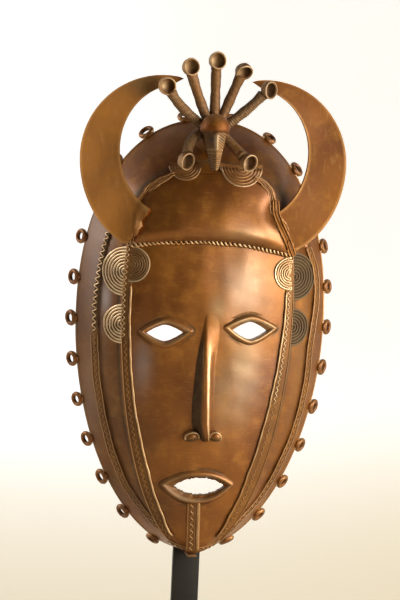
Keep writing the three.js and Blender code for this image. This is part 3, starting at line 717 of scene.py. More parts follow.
def nostril(side):
    """A flattened bead of wax with a thin curl laid on its front."""
    bpy.ops.mesh.primitive_uv_sphere_add(segments=24, ring_count=14, radius=1)
    bead = bpy.context.object
    at = cells(bead)
    x, z, wide = (NOSTRILS[side][name] for name in ("x", "z", "across"))
    tall, deep = NOSTRIL["tall"], NOSTRIL["forward"]
    base = face_plate(np.array(x), np.array(z))
    points = np.stack([
        x + at[:, 0] * wide,
        -base - 0.4 + at[:, 1] * np.where(at[:, 1] < 0, deep, 2),
        z + at[:, 2] * tall * np.where(at[:, 2] < 0, 0.8, 1) - side * at[:, 0] * 0.7,
    ], -1)
    placed(bead, points)
    # Painted light: the bead's upper front is lighter and its underside darker
    rub = np.clip(at[:, 2] - 0.2, 0, 1) * 0.6 * (at[:, 1] < 0)
    marked(bead, rub=rub, soot=np.clip(0.3 - at[:, 2], 0, 1))
    turn = np.linspace(-0.5, 3.5, 28)
    curl = np.stack([
        x + side * 0.76 * wide * np.cos(turn),
        -base - 0.3 - deep * (0.62 + 0.16 * np.sin(turn)),
        z - 0.5 + 0.78 * tall * np.sin(turn) - 0.7 * 0.76 * np.cos(turn),
    ], -1)
    up = np.tile([0.0, -1.0, 0.0], (len(turn), 1))
    line, column, row = swept(curl, up, round_section(0.85, 6), tapered(len(turn)))
    marked(line, rub=np.clip(np.sin(row / 6 * 2 * np.pi), 0, 1), soot=(row >= 3) * 0.8)
    return [closed(bead), closed(line, 1.3)]


# The brass from its dark skin to the bare scratches, and what lies on it, in linear colour: the two darkest
# browns serve for dirt and for painted shade, and the grey for a painted sheen
PATINA = {
    "umber": (0.135, 0.036, 0.0035, 1),
    "sienna": (0.285, 0.097, 0.0085, 1),
    "ochre": (0.440, 0.185, 0.0220, 1),
    "pit": (0.070, 0.026, 0.007, 1),
    "scratch": (0.46, 0.24, 0.075, 1),
    "golden": (0.50, 0.27, 0.085, 1),
    "darkest brown": (0.030, 0.016, 0.006, 1),
    "dull dark brown": (0.105, 0.060, 0.020, 1),
    "painted grey sheen": (0.36, 0.29, 0.27, 1),
}


def cast_brass(
    name, golden=0.0, dull=0.0, coat=0.55, grain=0.22, bright=(0.66, 0.42, 0.18, 1), brushed=(60, 60, 60),
):
    """Brown cast brass: patina in slow clouds, under dirt and painted shade, a painted grey sheen, and
    bright metal that is partly wear and partly a painted highlight.
    """
    material, tree, principled, node, ranged, mixed = new_material(name)
    where = node("ShaderNodeTexCoord").outputs["Object"]

    def clouds(at, scale, detail, roughness=0.5):
        settings = {"Scale": scale, "Detail": detail, "Roughness": roughness}
        return node("ShaderNodeTexNoise", Vector=at, **settings).outputs["Fac"]

    def written(attribute):
        return node("ShaderNodeAttribute", {"attribute_name": attribute}).outputs["Fac"]

    def worked(first, second, operation="MULTIPLY"):
        settings = {"operation": operation, "use_clamp": True}
        return node("ShaderNodeMath", settings, i0=first, i1=second).outputs[0]

    slow = clouds(where, 17.0, 5.0, 0.55)
    small = clouds(where, 95.0, 6.0, 0.65)
    fine = clouds(where, 520.0, 3.0, 0.6)
    stretched = node("ShaderNodeMapping", Vector=where)
    stretched.inputs["Scale"].default_value = brushed
    scratches = clouds(stretched.outputs["Vector"], 9.0, 4.0)
    patina = mixed(ranged(slow, 0.32, 0.66), PATINA["umber"], PATINA["sienna"])
    patina = mixed(ranged(small, 0.50, 0.78, 0, 0.55), patina, PATINA["ochre"])
    patina = mixed(ranged(fine, 0.62, 0.80, 0, 0.35), patina, PATINA["pit"])
    patina = mixed(ranged(scratches, 0.58, 0.74, 0, 0.26), patina, PATINA["scratch"])
    if golden:
        patina = mixed(golden, patina, PATINA["golden"])
    # Each part's vertices carry dirt together with painted shade, wear together with painted highlight, and
    # a painted grey sheen
    dirt_and_shade, wear_and_highlight = written("soot"), written("rub")
    dirt_and_shade_colour = mixed(ranged(small, 0.4, 0.62), PATINA["darkest brown"], PATINA["dull dark brown"])
    dirtied_and_shaded = mixed(worked(dirt_and_shade, ranged(small, 0.25, 0.55, 0.75, 1.0)), patina, dirt_and_shade_colour)
    dirtied_and_shaded = mixed(written("bloom"), dirtied_and_shaded, PATINA["painted grey sheen"])
    polish_and_highlight = worked(wear_and_highlight, ranged(small, 0.30, 0.62, 1.0, 0.55))
    tree.links.new(mixed(polish_and_highlight, dirtied_and_shaded, bright), principled.inputs["Base Color"])
    rough = ranged(small, 0.3, 0.7, 0.36 + dull, 0.52 + dull)
    rough = worked(rough, worked(dirt_and_shade, 0.28), "ADD")
    rough = worked(rough, worked(wear_and_highlight, 0.08), "SUBTRACT")
    tree.links.new(rough, principled.inputs["Roughness"])
    tree.links.new(ranged(dirt_and_shade, 0, 1, 0.72, 0.15), principled.inputs["Metallic"])
    tree.links.new(ranged(dirt_and_shade, 0, 1, coat, coat * 0.2), principled.inputs["Coat Weight"])
    pits = node("ShaderNodeBump", Strength=grain, Distance=0.0006, Height=small).outputs["Normal"]
    marks = node("ShaderNodeBump", Strength=0.10, Distance=0.0004, Height=scratches, Normal=pits)
    tree.links.new(marks.outputs["Normal"], principled.inputs["Normal"])
    principled.inputs["Specular IOR Level"].default_value = 0.3
    principled.inputs["Coat Roughness"].default_value = 0.34
    return material


def finish_casting(name, parts, material):
    """Joins the parts of one group and hands them to the mask's place in the frame."""
    group = joined(name, parts)
    group.data.materials.clear()
    group.data.materials.append(material)
    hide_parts("mask")
    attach(group, "root")


shell_brass = cast_brass("shell_brass", bright=(0.64, 0.47, 0.26, 1), brushed=(14, 14, 160))
hollow = cut(shell(), [slot_cutter(slot) for slot in [*EYES, MOUTH]])
face_parts = [hollow, cap(), nose(), slot_frame(MOUTH, 0.7)]
face_parts += [slot_frame(eye, 0.15) for eye in EYES]
face_parts += nostril(-1) + nostril(1)
finish_casting("mask_shell", face_parts, shell_brass)


# Bands and braids are strips of wax laid over the shell's edges before casting, with cords and zigzags
# of rolled wax thread pressed on them. Their tops are rubbed golden and the grooves are full of old dirt.
def arc_lengths(x, z):
    """How far along a line each of its points lies."""
    return np.r_[0, np.cumsum(np.hypot(np.diff(x), np.diff(z)))]


def spaced(x, z, count):
    """The same line with its points evenly spaced."""
    run = arc_lengths(x, z)
    at = np.linspace(0, run[-1], count)
    return np.interp(at, run, x), np.interp(at, run, z)


def beside(x, z, across):
    """A line that runs beside another one, at a distance to its right."""
    dx, dz = np.gradient(x), np.gradient(z)
    length = np.hypot(dx, dz)
    return x + dz / length * across, z - dx / length * across


def thread(level, x, z, radius, rise, rub=1.0, soot=0.9, sides=6, dirt_and_shade=0.0):
    """A rolled thread of wax pressed on a surface: its top is rubbed bright and its foot holds dirt."""
    points, up = laid(level, x, z, rise)
    part, column, row = swept(points, up, round_section(radius, sides), tapered(len(points)))
    height = np.sin(row / sides * 2 * np.pi)
    top = np.clip((height - 0.1) / 0.6, 0, 1)
    rub = np.broadcast_to(rub, len(points))[column]
    foot = soot * (1 - np.clip((height + 0.1) / 0.5, 0, 1))
    return closed(marked(part, rub=rub * top, soot=np.maximum(foot, dirt_and_shade)), 1.3)


def face_edge_line(side, count=160):
    """The edge of the raised face, from the temple down to the chin."""
    start = np.arcsin((CAP["low"] + 2 - FACE["middle"]) / FACE["above"])
    turn = mix(start, -np.pi * FACE_BAND["end"], np.linspace(0, 1, count))
    power = np.where(turn > 0, 1, 2 / FACE["below_round"])
    height = np.where(turn > 0, FACE["above"], FACE["below"])
    x = side * (FACE["half"] - 0.3) * signed_power(np.cos(turn), power)
    return spaced(x, FACE["middle"] + height * signed_power(np.sin(turn), power), count)


def outer_band_line(side, count=170):
    """The middle of the outer band, from the temple down to the chin."""
    angles, shares = BAND_SHARES[side]
    angle = np.linspace(angles[-1], angles[0], count)
    r = mix(face_radius(angle), rim_radius(angle), softened(angle, angles, shares, 31))
    return spaced(side * r * np.cos(angle), RIM["middle"] + r * np.sin(angle), count)


def band(level, x, z, width, section, soot):
    """The strip itself, from a section in half widths across and millimetres up, going clockwise."""
    points, up = laid(level, x, z)
    across, height = np.array(section).T
    count = len(x)
    half = np.broadcast_to(width, count) / 2
    part, column, row = swept(points, up, np.stack([across, height], -1))
    along = np.gradient(points, axis=0)
    side = np.cross(along, up)
    side /= np.linalg.norm(side, axis=1, keepdims=True)
    top = np.cross(side, along / np.linalg.norm(along, axis=1, keepdims=True))
    place = points[column] + side[column] * (across[row] * half[column])[:, None]
    placed(part, place + top[column] * height[row, None])
    soot = np.broadcast_to(soot, count)[column]
    return closed(marked(part, rub=0, soot=soot), 0.8)


ZIGZAG_POINTS = 8


def zigzag(level, x, z, reach, period, radius, rise, **finish):
    """A thread laid to and fro across a line, a little unevenly."""
    count = int(round(arc_lengths(x, z)[-1] / period)) * ZIGZAG_POINTS
    x, z = spaced(x, z, count + 1)
    wave = np.arange(count + 1) / ZIGZAG_POINTS
    swing = 2 * np.abs(2 * (wave % 1) - 1) - 1
    swing = np.sin(swing * np.pi / 2) * 0.35 + swing * 0.65
    drift = 0.12 * np.sin(wave * 1.7) + 0.08 * np.sin(wave * 4.3 + 1)
    x, z = beside(x, z, reach * (swing * (1 + drift) + drift * 0.5))
    return thread(level, x, z, radius, rise, **finish)


# How wide the face band is from the face's edge to its golden cord, by height, on the left and the right
FACE_BAND_WIDTHS = {
    -1: ([12, 23, 34, 58, 76, 100, 120, 187, 235], [4.8, 7.0, 7.8, 8.5, 8.4, 7.4, 6.8, 6.2, 5.8]),
    1: ([12, 25, 60, 100, 124, 187, 235], [5.5, 8.0, 10.0, 9.6, 8.8, 6.0, 5.6]),
}
# How brightly the golden cord is rubbed, by height
CORD_POLISH = {
    -1: ([20, 60, 120, 160, 200], [0.75, 0.95, 0.8, 0.6, 0.5]),
    1: ([20, 70, 110, 140, 200], [0.30, 0.45, 0.85, 1.0, 1.0]),
}
# Where the face band's zigzag runs across it and how bright it is, below and above the height of change
FACE_ZIGZAG = {
    -1: {"place": 0.45, "rub": 0.10, "high_place": 0.25, "high_rub": 0.7, "change": 158},
    1: {"place": 0.55, "rub": 0.20, "high_place": 0.65, "high_rub": 0.8, "change": 112},
}
BAND_DIRT = {-1: 0.6, 1: 0.35}


def wavering(line, depth, pitch):
    """The slow unevenness of a thread laid by hand."""
    step = np.arange(len(line))
    return depth * (np.sin(step * 2 * np.pi / pitch) + 0.6 * np.sin(step * 2 * np.pi / pitch * 2.7 + 1))


def face_band(side):
    """The strip along the face's edge, with a golden cord inside, a thin thread outside and a zigzag."""
    x, z = face_edge_line(side)
    width = np.interp(z, *FACE_BAND_WIDTHS[side])
    section = [(1, -5.4), (1, 0.4), (0.88, 0.9), (0.3, 0.7), (0, 0.95), (-0.86, 0.8), (-1, 0.5), (-1, -1.4)]
    section = [(side * across, height) for across, height in section]
    middle = beside(x, z, side * (width / 2 + 0.2))
    parts = [band(face_plate, *middle, width + 0.8, section[::-side], BAND_DIRT[side])]
    below_disc = z < 199
    cord_x, cord_z = (line[below_disc] for line in beside(x, z, side * (width + wavering(z, 0.14, 23))))
    polish_and_highlight = np.interp(cord_z, *CORD_POLISH[side]) * (0.8 + 0.2 * np.sin(cord_z / 2.3))
    parts.append(thread(face_plate, cord_x, cord_z, 0.85, 1.05, rub=polish_and_highlight, soot=0.7, sides=8))
    parts.append(thread(face_plate, *beside(x, z, side * 0.4), 0.34, 0.95, rub=0.25, soot=0.5))
    look = FACE_ZIGZAG[side]
    high = z > look["change"]
    line = np.array(beside(x, z, side * width * np.where(high, look["high_place"], look["place"])))
    parts.append(zigzag(face_plate, *line[:, high], 0.9, 4.2, 0.42, 1.0, rub=look["high_rub"], soot=0.8))
    parts.append(zigzag(face_plate, *line[:, ~high], 0.9, 4.6, 0.34, 0.95, rub=look["rub"], soot=0.5))
    return parts


def outer_band(side):
    """The strip along the flank. High on the left it narrows to a bold zigzag."""
    x, z = outer_band_line(side)
    upper = eased((z - 158) / 14) if side < 0 else 0 * z
    width = mix(5.2, 3.8, upper) * mix(1, 0.6, np.linspace(0, 1, len(x)) ** 6)
    section = [(-1, -3.2), (-1, 0.35), (-0.85, 0.7), (0, 0.55), (0.85, 0.7), (1, 0.35), (1, -3.2)]
    parts = [band(plain_flank, x, z, width, section, mix(0.55, 0.9, upper) if side < 0 else 0.3)]
    if side < 0:
        bold = z > 160
        parts.append(zigzag(plain_flank, x[bold], z[bold], 1.35, 5.0, 0.5, 0.95, rub=1.0, soot=1.0))
        x, z, width = x[~bold], z[~bold], width[~bold]
    for across in (-0.86, 0.86):
        edge = beside(x, z, width / 2 * across + wavering(z, 0.12, 19))
        parts.append(thread(plain_flank, *edge, 0.4, 0.7, rub=0.4, soot=0.7))
    parts.append(zigzag(plain_flank, x, z, 0.9, 4.6, 0.34, 0.75, rub=0.2, soot=0.5))
    return parts


HAIR_BAND = {"width": 6.4, "end": 1.13, "points": 80}
# Its threads: how far across, how thick and how bright
HAIR_RIDGES = ((-2.7, 0.75, 0.12), (-1.0, 0.4, 0.1), (0.9, 0.5, 0.15), (2.6, 0.85, 0.2))


def hair_band(side):
    """The strip along the cap's hairline, drawn in toward the crest."""
    inset = HAIR_BAND["width"] / 2
    turn = HAIR_BAND["end"] * np.linspace(0, 1, 70)
    x = side * (CAP["half"] - inset) * np.cos(turn) ** (2 / CAP["round"])
    z = CAP["low"] + (CAP["height"] - inset) * signed_power(np.sin(turn), 2 / CAP["round"])
    x, z = spaced(x - pinch(x, z), z, HAIR_BAND["points"])
    x, z = beside(x, z, wavering(z, 0.35, 31))
    width = HAIR_BAND["width"] * mix(1, 0.35, np.linspace(0, 1, HAIR_BAND["points"]) ** 3)
    section = [
        (-1, -3.5), (-1, 0.3), (-0.8, 0.9), (-0.2, 0.45), (0.3, 0.5), (0.8, 1.0), (1, 0.3), (1, -3.5),
    ]
    parts = [band(face_plate, x, z, width, section, 0.35)]
    for across, radius, rub in HAIR_RIDGES:
        line = beside(x, z, across * width / HAIR_BAND["width"] + wavering(z, 0.16, 17 + across))
        parts.append(thread(face_plate, *line, radius, 0.65, rub=rub, soot=0.45))
    return parts


def forehead_braid():
    """Two threads twisted together: they show as slanting strokes, each rubbed bright on its back."""
    x = np.linspace(-BRAID["half"] - 1, BRAID["half"] + 1, 90)
    z = braid_level(x) - 0.3
    section = [(-1, -1.2), (-1, 0.0), (-0.8, 0.3), (0.8, 0.3), (1, 0.0), (1, -1.2)]
    parts = [band(face_plate, x, z, BRAID["width"], section, 0.8)]
    x, z = spaced(x, z, BRAID["turns"] * 12 + 1)
    for phase in (0, np.pi):
        wave = np.linspace(0, BRAID["turns"] * 2 * np.pi, len(x)) + phase + 0.7 * np.sin(x / 7)
        line_x, line_z = beside(x, z, 1.6 * np.sin(wave) * (1 + 0.25 * np.sin(x / 5)))
        rise = 0.7 + 0.7 * np.cos(wave)
        dull = 0.45 * np.exp(-((x + 22) / 16) ** 2)
        polish_and_highlight = np.clip(0.30 + 0.8 * np.cos(wave + 0.5) + 0.25 * np.sin(x / 3) - dull, 0, 1)
        parts.append(thread(face_plate, line_x, line_z, 0.85, rise, rub=polish_and_highlight, soot=1.0, sides=8))
    return parts


CHIN_STRIP = {"width": 9.8, "bottom": (-1, 1.2), "top": (-3, 39.5)}


def chin_strip():
    """The upright strip from the mouth to the chin, with a thick cord along its right edge."""
    run = np.linspace(0, 1, 40)
    x = mix(CHIN_STRIP["bottom"][0], CHIN_STRIP["top"][0], run)
    z = mix(CHIN_STRIP["bottom"][1], CHIN_STRIP["top"][1], run)
    section = [(-1, -1.4), (-1, 0.6), (-0.85, 1.0), (0.2, 0.8), (0.85, 1.2), (1, 0.8), (1, -1.4)]
    parts = [band(face_plate, x, z, CHIN_STRIP["width"], section, 0.42)]
    parts.append(thread(face_plate, *beside(x, z, -4.4), 0.6, 0.9, rub=0.1, soot=0.7))
    parts.append(zigzag(face_plate, *beside(x, z, -1.4), 1.2, 4.6, 0.42, 0.95, rub=0.35, soot=0.7))
    parts.append(thread(face_plate, *beside(x, z, 0.9), 0.3, 0.95, rub=0.2, soot=0.6))
    parts.append(thread(face_plate, *beside(x, z, 3.3), 1.5, 0.75, rub=0.35, soot=0.5, sides=8))
    return parts


def chin_border():
    """A thin thread and a zigzag round the lower edge of the chin."""
    angle = np.linspace(-np.pi / 2 - 0.11, -np.pi / 2 + 0.11, 60)
    r = rim_radius(angle)
    x, z = r * np.cos(angle), RIM["middle"] + r * np.sin(angle)
    parts = [thread(surface, x * 0.95, z + 5.2, 0.4, 0.15, rub=0.4)]
    parts.append(zigzag(surface, x * 0.97, z + 3.4, 0.8, 3.6, 0.36, 0.2, rub=0.5, soot=0.8))
    return parts


braid_brass = cast_brass("braid_brass", golden=0.15, dull=0.06, coat=0.3, bright=(0.80, 0.57, 0.32, 1))
braids = forehead_braid() + chin_strip() + chin_border()
for side in (-1, 1):
    braids += face_band(side) + outer_band(side) + hair_band(side)
finish_casting("mask_braids", braids, braid_brass)


# The discs at the temples and on the hairline are coils of fine wax thread on thin plates. The face bands
# cover the straight side of each half disc and the two fans on the hairline sink into the cap, so the
# thread is laid to and fro in half rings.
HALF_OUTSIDE = {
    "from": -np.pi / 2 - 0.3, "to": np.pi / 2 + 0.3, "pitch": 2.15, "rise": 0.6, "sunk": 0, "level": flank,
}
HALF_INSIDE = {
    "from": np.pi / 2 - 0.15, "to": 3 * np.pi / 2 + 0.15, "pitch": 1.7, "rise": 0.6, "sunk": 0,
    "level": face_plate, "squeeze": 1.0,
}
HAIRLINE_FAN = {
    "from": -1.03 * np.pi, "to": 0.03 * np.pi, "rise": -0.1, "sunk": 1, "level": cap_front, "squeeze": 1.0,
    "rub": 0.05, "dirt_and_shade": 0.2, "gap": 0.3,
}
# How the discs look: the left outer discs rubbed bright and partly a painted glint, the right outer discs
# dark with dirt and painted shade, the left inner disc dimmed with dirt and painted shade and the right
# inner one half bright
RUBBED_AND_GLINTING = {"rub": 1.0, "edge": 1.0, "dirt_and_shade": 0, "gap": 0.3}
DARK = {"rub": 0.06, "edge": 0.1, "dirt_and_shade": 1.0, "gap": 1.0}
DIM = {"rub": 0.02, "edge": 0.4, "dirt_and_shade": 0.7, "gap": 0.9}
HALF_BRIGHT = {"rub": 0.5, "edge": 1.0, "dirt_and_shade": 0, "gap": 0.7}
DISCS = [
    {**HALF_OUTSIDE, **RUBBED_AND_GLINTING, "x": -60.9, "z": 207.3, "radius": 18.2, "squeeze": 0.86},
    {**HALF_OUTSIDE, **RUBBED_AND_GLINTING, "x": -61.4, "z": 168.8, "radius": 14.6, "squeeze": 0.90},
    {**HALF_INSIDE, **DIM, "x": -57, "z": 213, "radius": 13.3, "squeeze": 0.97},
    {**HALF_OUTSIDE, **DARK, "x": 64, "z": 208.3, "radius": 17.8, "squeeze": 1.06},
    {**HALF_OUTSIDE, **DARK, "x": 64, "z": 170.7, "radius": 14.2, "squeeze": 1.02},
    {**HALF_INSIDE, **HALF_BRIGHT, "x": 59.5, "z": 210.6, "radius": 12.2},
    {**HAIRLINE_FAN, "x": -21.5, "z": 287.3, "radius": 12.2, "pitch": 1.9, "edge": 0.2},
    {**HAIRLINE_FAN, "x": 20.3, "z": 288.3, "radius": 16.2, "pitch": 2.2, "edge": 0.3},
]
PLATE_GRID = {"across": 10, "around": 28}


def coiled_disc(disc):
    """A thin dark plate of wax with the thread on it."""
    level, pitch, side = disc["level"], disc["pitch"], np.sign(disc["x"])

    def disc_point(r, angle):
        return disc["x"] + side * r * disc["squeeze"] * np.cos(angle), disc["z"] + r * np.sin(angle)

    def sunk(x, z):
        inward = 1 - np.hypot(x - disc["x"], z - disc["z"]) / disc["radius"]
        return disc["sunk"] * (0.5 * inward + 5.5 * eased((z - disc["z"] + 4) / 7))

    across, around = PLATE_GRID["across"], PLATE_GRID["around"]
    part, column, row = sheet(across, around)
    r = disc["radius"] * np.maximum(np.minimum(column / (across - 1), 1), 0.01)
    x, z = disc_point(r, mix(disc["from"], disc["to"], row / around))
    hem = (column == across) | (row == 0) | (row == around)
    points, _ = laid(level, x, z, np.where(hem, -1.2, 0.45 - sunk(x, z)))
    placed(part, points)
    parts = [closed(marked(part, rub=0, soot=disc["gap"]))]
    line_x, line_z, polish_and_highlight = [], [], []
    for k, r in enumerate(np.arange(disc["radius"] - pitch * 0.4, 0.6, -pitch)):
        count = max(int(r * (disc["to"] - disc["from"]) / 1.2), 6)
        turn = np.linspace(disc["from"], disc["to"], count)
        turn = turn[::-1] if k % 2 else turn
        x, z = disc_point(r + 0.10 * np.sin(turn * 5 + k * 2), turn)
        line_x.append(x)
        line_z.append(z)
        polish_and_highlight.append(np.full(count, disc["rub"] if k else disc["edge"]))
    x, z, polish_and_highlight = (np.concatenate(line) for line in (line_x, line_z, polish_and_highlight))
    finish = {"rub": polish_and_highlight, "soot": disc["gap"], "dirt_and_shade": disc["dirt_and_shade"]}
    parts.append(thread(level, x, z, pitch * 0.45, disc["rise"] - sunk(x, z), sides=8, **finish))
    return parts


disc_brass = cast_brass("disc_brass", golden=0.1, bright=(0.95, 0.72, 0.44, 1))
discs = []
for disc in DISCS:
    discs += coiled_disc(disc)
finish_casting("mask_discs", discs, disc_brass)


# The horns are flat crescents cut from sheet wax and stood on the temples. Their broad faces are satin with
# fine scratches and their edges are rubbed bright. The left root is torn, the right one lies under a strip.
# Both edges are parts of ovals that end in one tip. The plate stands forward of the rim's plane, toes in by
# an angle, and keeps clear of the cap.
HORN = {
    "outer": {"x": 38, "z": 291, "half": 60.5, "above": 60.5, "below": 70, "from": -1.13, "to": 1.72},
    "inner": {"x": 27, "z": 298, "half": 42.5, "above": 47, "below": 49.5, "from": -1.09, "to": 1.42},
    "tip": (25, 349.6),
    "outer_root": [(61, 229.6), (61.4, 229.3), (61.8, 229), (62.3, 228.7), (62.8, 228.4), (63.3, 228)],
    "inner_root": [(58.6, 231.2), (54.8, 234.6), (53.9, 238), (51.4, 241.5), (52.3, 245.5), (48.6, 250)],
    "thick": 2.8,
    "forward": 38.5,
    "toe": 0.05,
    "clear": 0.6,
    "steps": 84,
}


def oval(shape, count):
    """Points along part of an oval whose upper and lower halves differ in height."""
    turn = np.linspace(shape["from"], shape["to"], count)
    height = np.where(turn > 0, shape["above"], shape["below"])
    return np.stack([shape["x"] + shape["half"] * np.cos(turn), shape["z"] + height * np.sin(turn)], -1)


def horn(side):
    """A crescent plate between two ovals. The left one's root is torn, folded and lifted over the cap."""
    outer = np.vstack([HORN["outer_root"], oval(HORN["outer"], HORN["steps"]), [HORN["tip"]]])
    inner = np.vstack([HORN["inner_root"], oval(HORN["inner"], HORN["steps"]), [HORN["tip"]]])
    loop = [(s, -1) for s in np.linspace(-0.97, 0.97, 15)] + [(1, -0.45), (1, 0.45)]
    loop += [(s, 1) for s in np.linspace(0.97, -0.97, 15)] + [(-1, 0.45), (-1, -0.45)]
    across, through = np.array(loop).T
    part, column, row = sheet(len(outer) - 1, len(loop))
    row = row % len(loop)
    s, t = across[row], through[row]
    flat = mix(outer[column], inner[column], (s[:, None] + 1) / 2)
    hollowed = 1 - 0.25 * np.cos(s * np.pi / 2) * (t < 0)
    thick = HORN["thick"] / 2 * t * hollowed * np.clip((len(outer) - 1 - column) / 10, 0.3, 1)
    root_x = HORN["inner_root"][2][0]
    away = flat[:, 0] - root_x
    dent = 0.35 * np.sin(flat[:, 0] / 9 + side) * np.sin(flat[:, 1] / 11)
    near = eased(1 - (column - 9) / 22) * (side < 0)
    crease = np.exp(-((flat[:, 0] + flat[:, 1] * 0.55 - 186) / 1.6) ** 2)
    fold = crease - np.exp(-((flat[:, 1] - 241) / 2.2) ** 2)
    dent = dent + 0.45 * fold * eased(1 - (column - 4) / 8) * eased((s + 0.3) / 0.6) * (side < 0)
    x = root_x + away * np.cos(HORN["toe"]) - thick * np.sin(HORN["toe"])
    y = away * np.sin(HORN["toe"]) + (thick + dent) * np.cos(HORN["toe"]) - HORN["forward"]
    over = cap_level(side * x, flat[:, 1]) + HORN["clear"] - HORN["forward"]
    y = y - near * 2.5 * np.logaddexp(0, over / 2.5)
    placed(part, np.stack([side * x, y, flat[:, 1]], -1))
    # Edges rubbed bright, the left root's corner brighter as a painted highlight; the left horn's face
    # lightened and the right one's darkened as painted light and shade; a painted shadow of a cup near the
    # left tip; and dirt on the backs
    edge = np.clip((np.abs(s) - 0.86) / 0.1, 0, 1) * 0.6
    worn_and_lit_corner = np.exp(-((column - 6) / 4.5) ** 2) * np.clip((s - 0.72) / 0.2, 0, 1) * (side < 0)
    edge = np.maximum.reduce([edge, worn_and_lit_corner, 0.2 * (side < 0) * (t < 0)])
    cup_shadow = np.exp(-((column - 76) / 6) ** 2) * (side < 0) * 1.3
    dirt_and_painted_shade = np.clip(cup_shadow + (t > 0) * 0.35 + (t <= 0) * 0.14 * (side > 0), 0, 1)
    return closed(marked(part, rub=edge, soot=dirt_and_painted_shade * (1 - edge)), 0.7)


TEMPLE_RUN = [0, 0.25, 0.5, 0.75, 1]
TEMPLE_X = [46.2, 46.9, 51.3, 57.0, 61.6]
TEMPLE_Z = [265, 254, 244, 233.5, 223]


def temple_ridge():
    """On the right the hairline's strip runs on along the horn's root and down to the temple."""
    run = np.linspace(0, 1, 48)
    x, z = (softened(run, TEMPLE_RUN, places, 61) for places in (TEMPLE_X, TEMPLE_Z))
    horn_front = HORN["forward"] + HORN["thick"] / 2

    def level(at_x, at_z):
        return 0.8 * np.logaddexp(cap_front(at_x, at_z) / 0.8, horn_front / 0.8)

    section = [(-1, -5), (-1, 0.1), (-0.6, 0.55), (0, 0.3), (0.6, 0.6), (1, 0.1), (1, -5)]
    parts = [band(level, x, z, mix(5.0, 6.6, np.sin(run * np.pi)), section, 0.1)]
    for across, rub in ((-2.7, 0.3), (0.4, 0.1), (2.8, 0.45)):
        line = beside(x, z, across * (0.8 + 0.2 * np.sin(run * np.pi)))
        parts.append(thread(level, *line, 0.6, 0.75, rub=rub, soot=0.4))
    return parts


horn_brass = cast_brass(
    "horn_brass", golden=0.04, dull=0.12, coat=0.15, bright=(0.70, 0.38, 0.13, 1), brushed=(45, 45, 12)
)
finish_casting("mask_horns", [horn(-1), horn(1)] + temple_ridge(), horn_brass)


# The crest is a small bearded head on a boss at the top of the forehead, with seven arms of wax rolled
# round a core and bent to a fan. Each arm ends in a little bowl with a thin rim.
BOSS = {"x": -2, "z": 308, "radius": 9, "root_radius": 13, "forward": 50, "sides": 32, "rows": 10}
HEAD = {"x": -2.8, "z": 313.5, "forward": 55, "half": 10.8, "tall": 11.2, "deep": 11}
HEAD_FACE = {
    "top": 312, "chin": 283.6, "half": 8.8, "chin_half": 2.6, "forward": 65.5, "chin_forward": 68,
    "chin_back": 57, "columns": 28, "rows": 64,
}
ARM = {"radius": 3.7, "sides": 16, "forward": 44}
CUP = {"radius": 6.6, "wall": 1.1, "deep": 7.5, "pivot": 3.5}
# The bowl's outside and inside, as distances from its axis and along it
CUP_OUTSIDE = [
    (0.0, -0.4), (2.4, -0.2), (4.4, 0.7), (5.7, 2.1), (6.25, 3.8), (6.3, 5.4), (6.55, 6.3),
    (CUP["radius"], 7.0), (CUP["radius"] - 0.35, CUP["deep"]), (CUP["radius"] - 0.8, CUP["deep"]),
    (CUP["radius"] - CUP["wall"], 7.0),
]
CUP_INSIDE = [(5.25, 6.0), (5.0, 4.4), (4.2, 2.7), (2.8, 1.7), (1.2, 1.3), (0.0, 1.2)]
# Each arm from root to cup, seen from the front; how far forward its cup stands, how clearly it is bound
# with thread, and which way the cup tilts
ARMS = [
    {
        "root": (-7, 314), "bow": (-25, 327), "cup": (-39, 343.3),
        "forward": 51, "wound": 1, "tilt": (0.1, -0.15),
    },
    {
        "root": (-5, 316), "bow": (-13.5, 334), "cup": (-22.5, 357.4),
        "forward": 49, "wound": 0.3, "tilt": (0.35, 0.1),
    },
    {
        "root": (-2, 317), "bow": (-2.5, 340), "cup": (-3.2, 362.9),
        "forward": 49, "wound": 0.2, "tilt": (0.3, 0.1),
    },
    {
        "root": (1, 316), "bow": (8.5, 336), "cup": (16.6, 357.3),
        "forward": 49, "wound": 0.3, "tilt": (0.3, -0.85),
    },
    {
        "root": (3, 314), "bow": (20, 328), "cup": (35, 343.8),
        "forward": 51, "wound": 1.3, "tilt": (0.8, -0.1),
    },
    {
        "root": (-7, 315), "bow": (-18.5, 304.5), "cup": (-24, 290),
        "forward": 57, "wound": 1.2, "tilt": (0.75, -0.35),
    },
    {
        "root": (3, 312), "bow": (12.5, 301.5), "cup": (21.8, 291),
        "forward": 57, "wound": 0.4, "tilt": (0.6, -0.35),
    },
]


def boss():
    """The stub that carries the head and the arms, rooted in the shell's wall."""
    part, column, row = sheet(BOSS["sides"], BOSS["rows"])
    turn = column / BOSS["sides"] * 2 * np.pi
    run = row / BOSS["rows"]
    radius = mix(BOSS["root_radius"], BOSS["radius"], np.sqrt(np.clip(run * 1.6, 0, 1)))
    x, z = BOSS["x"] + radius * np.cos(turn), BOSS["z"] + radius * np.sin(turn)
    back = WALL / 2 - surface(x, z)
    placed(part, np.stack([x, mix(back, -BOSS["forward"], run), z], -1))
    return closed(marked(part, rub=0, soot=0.55))


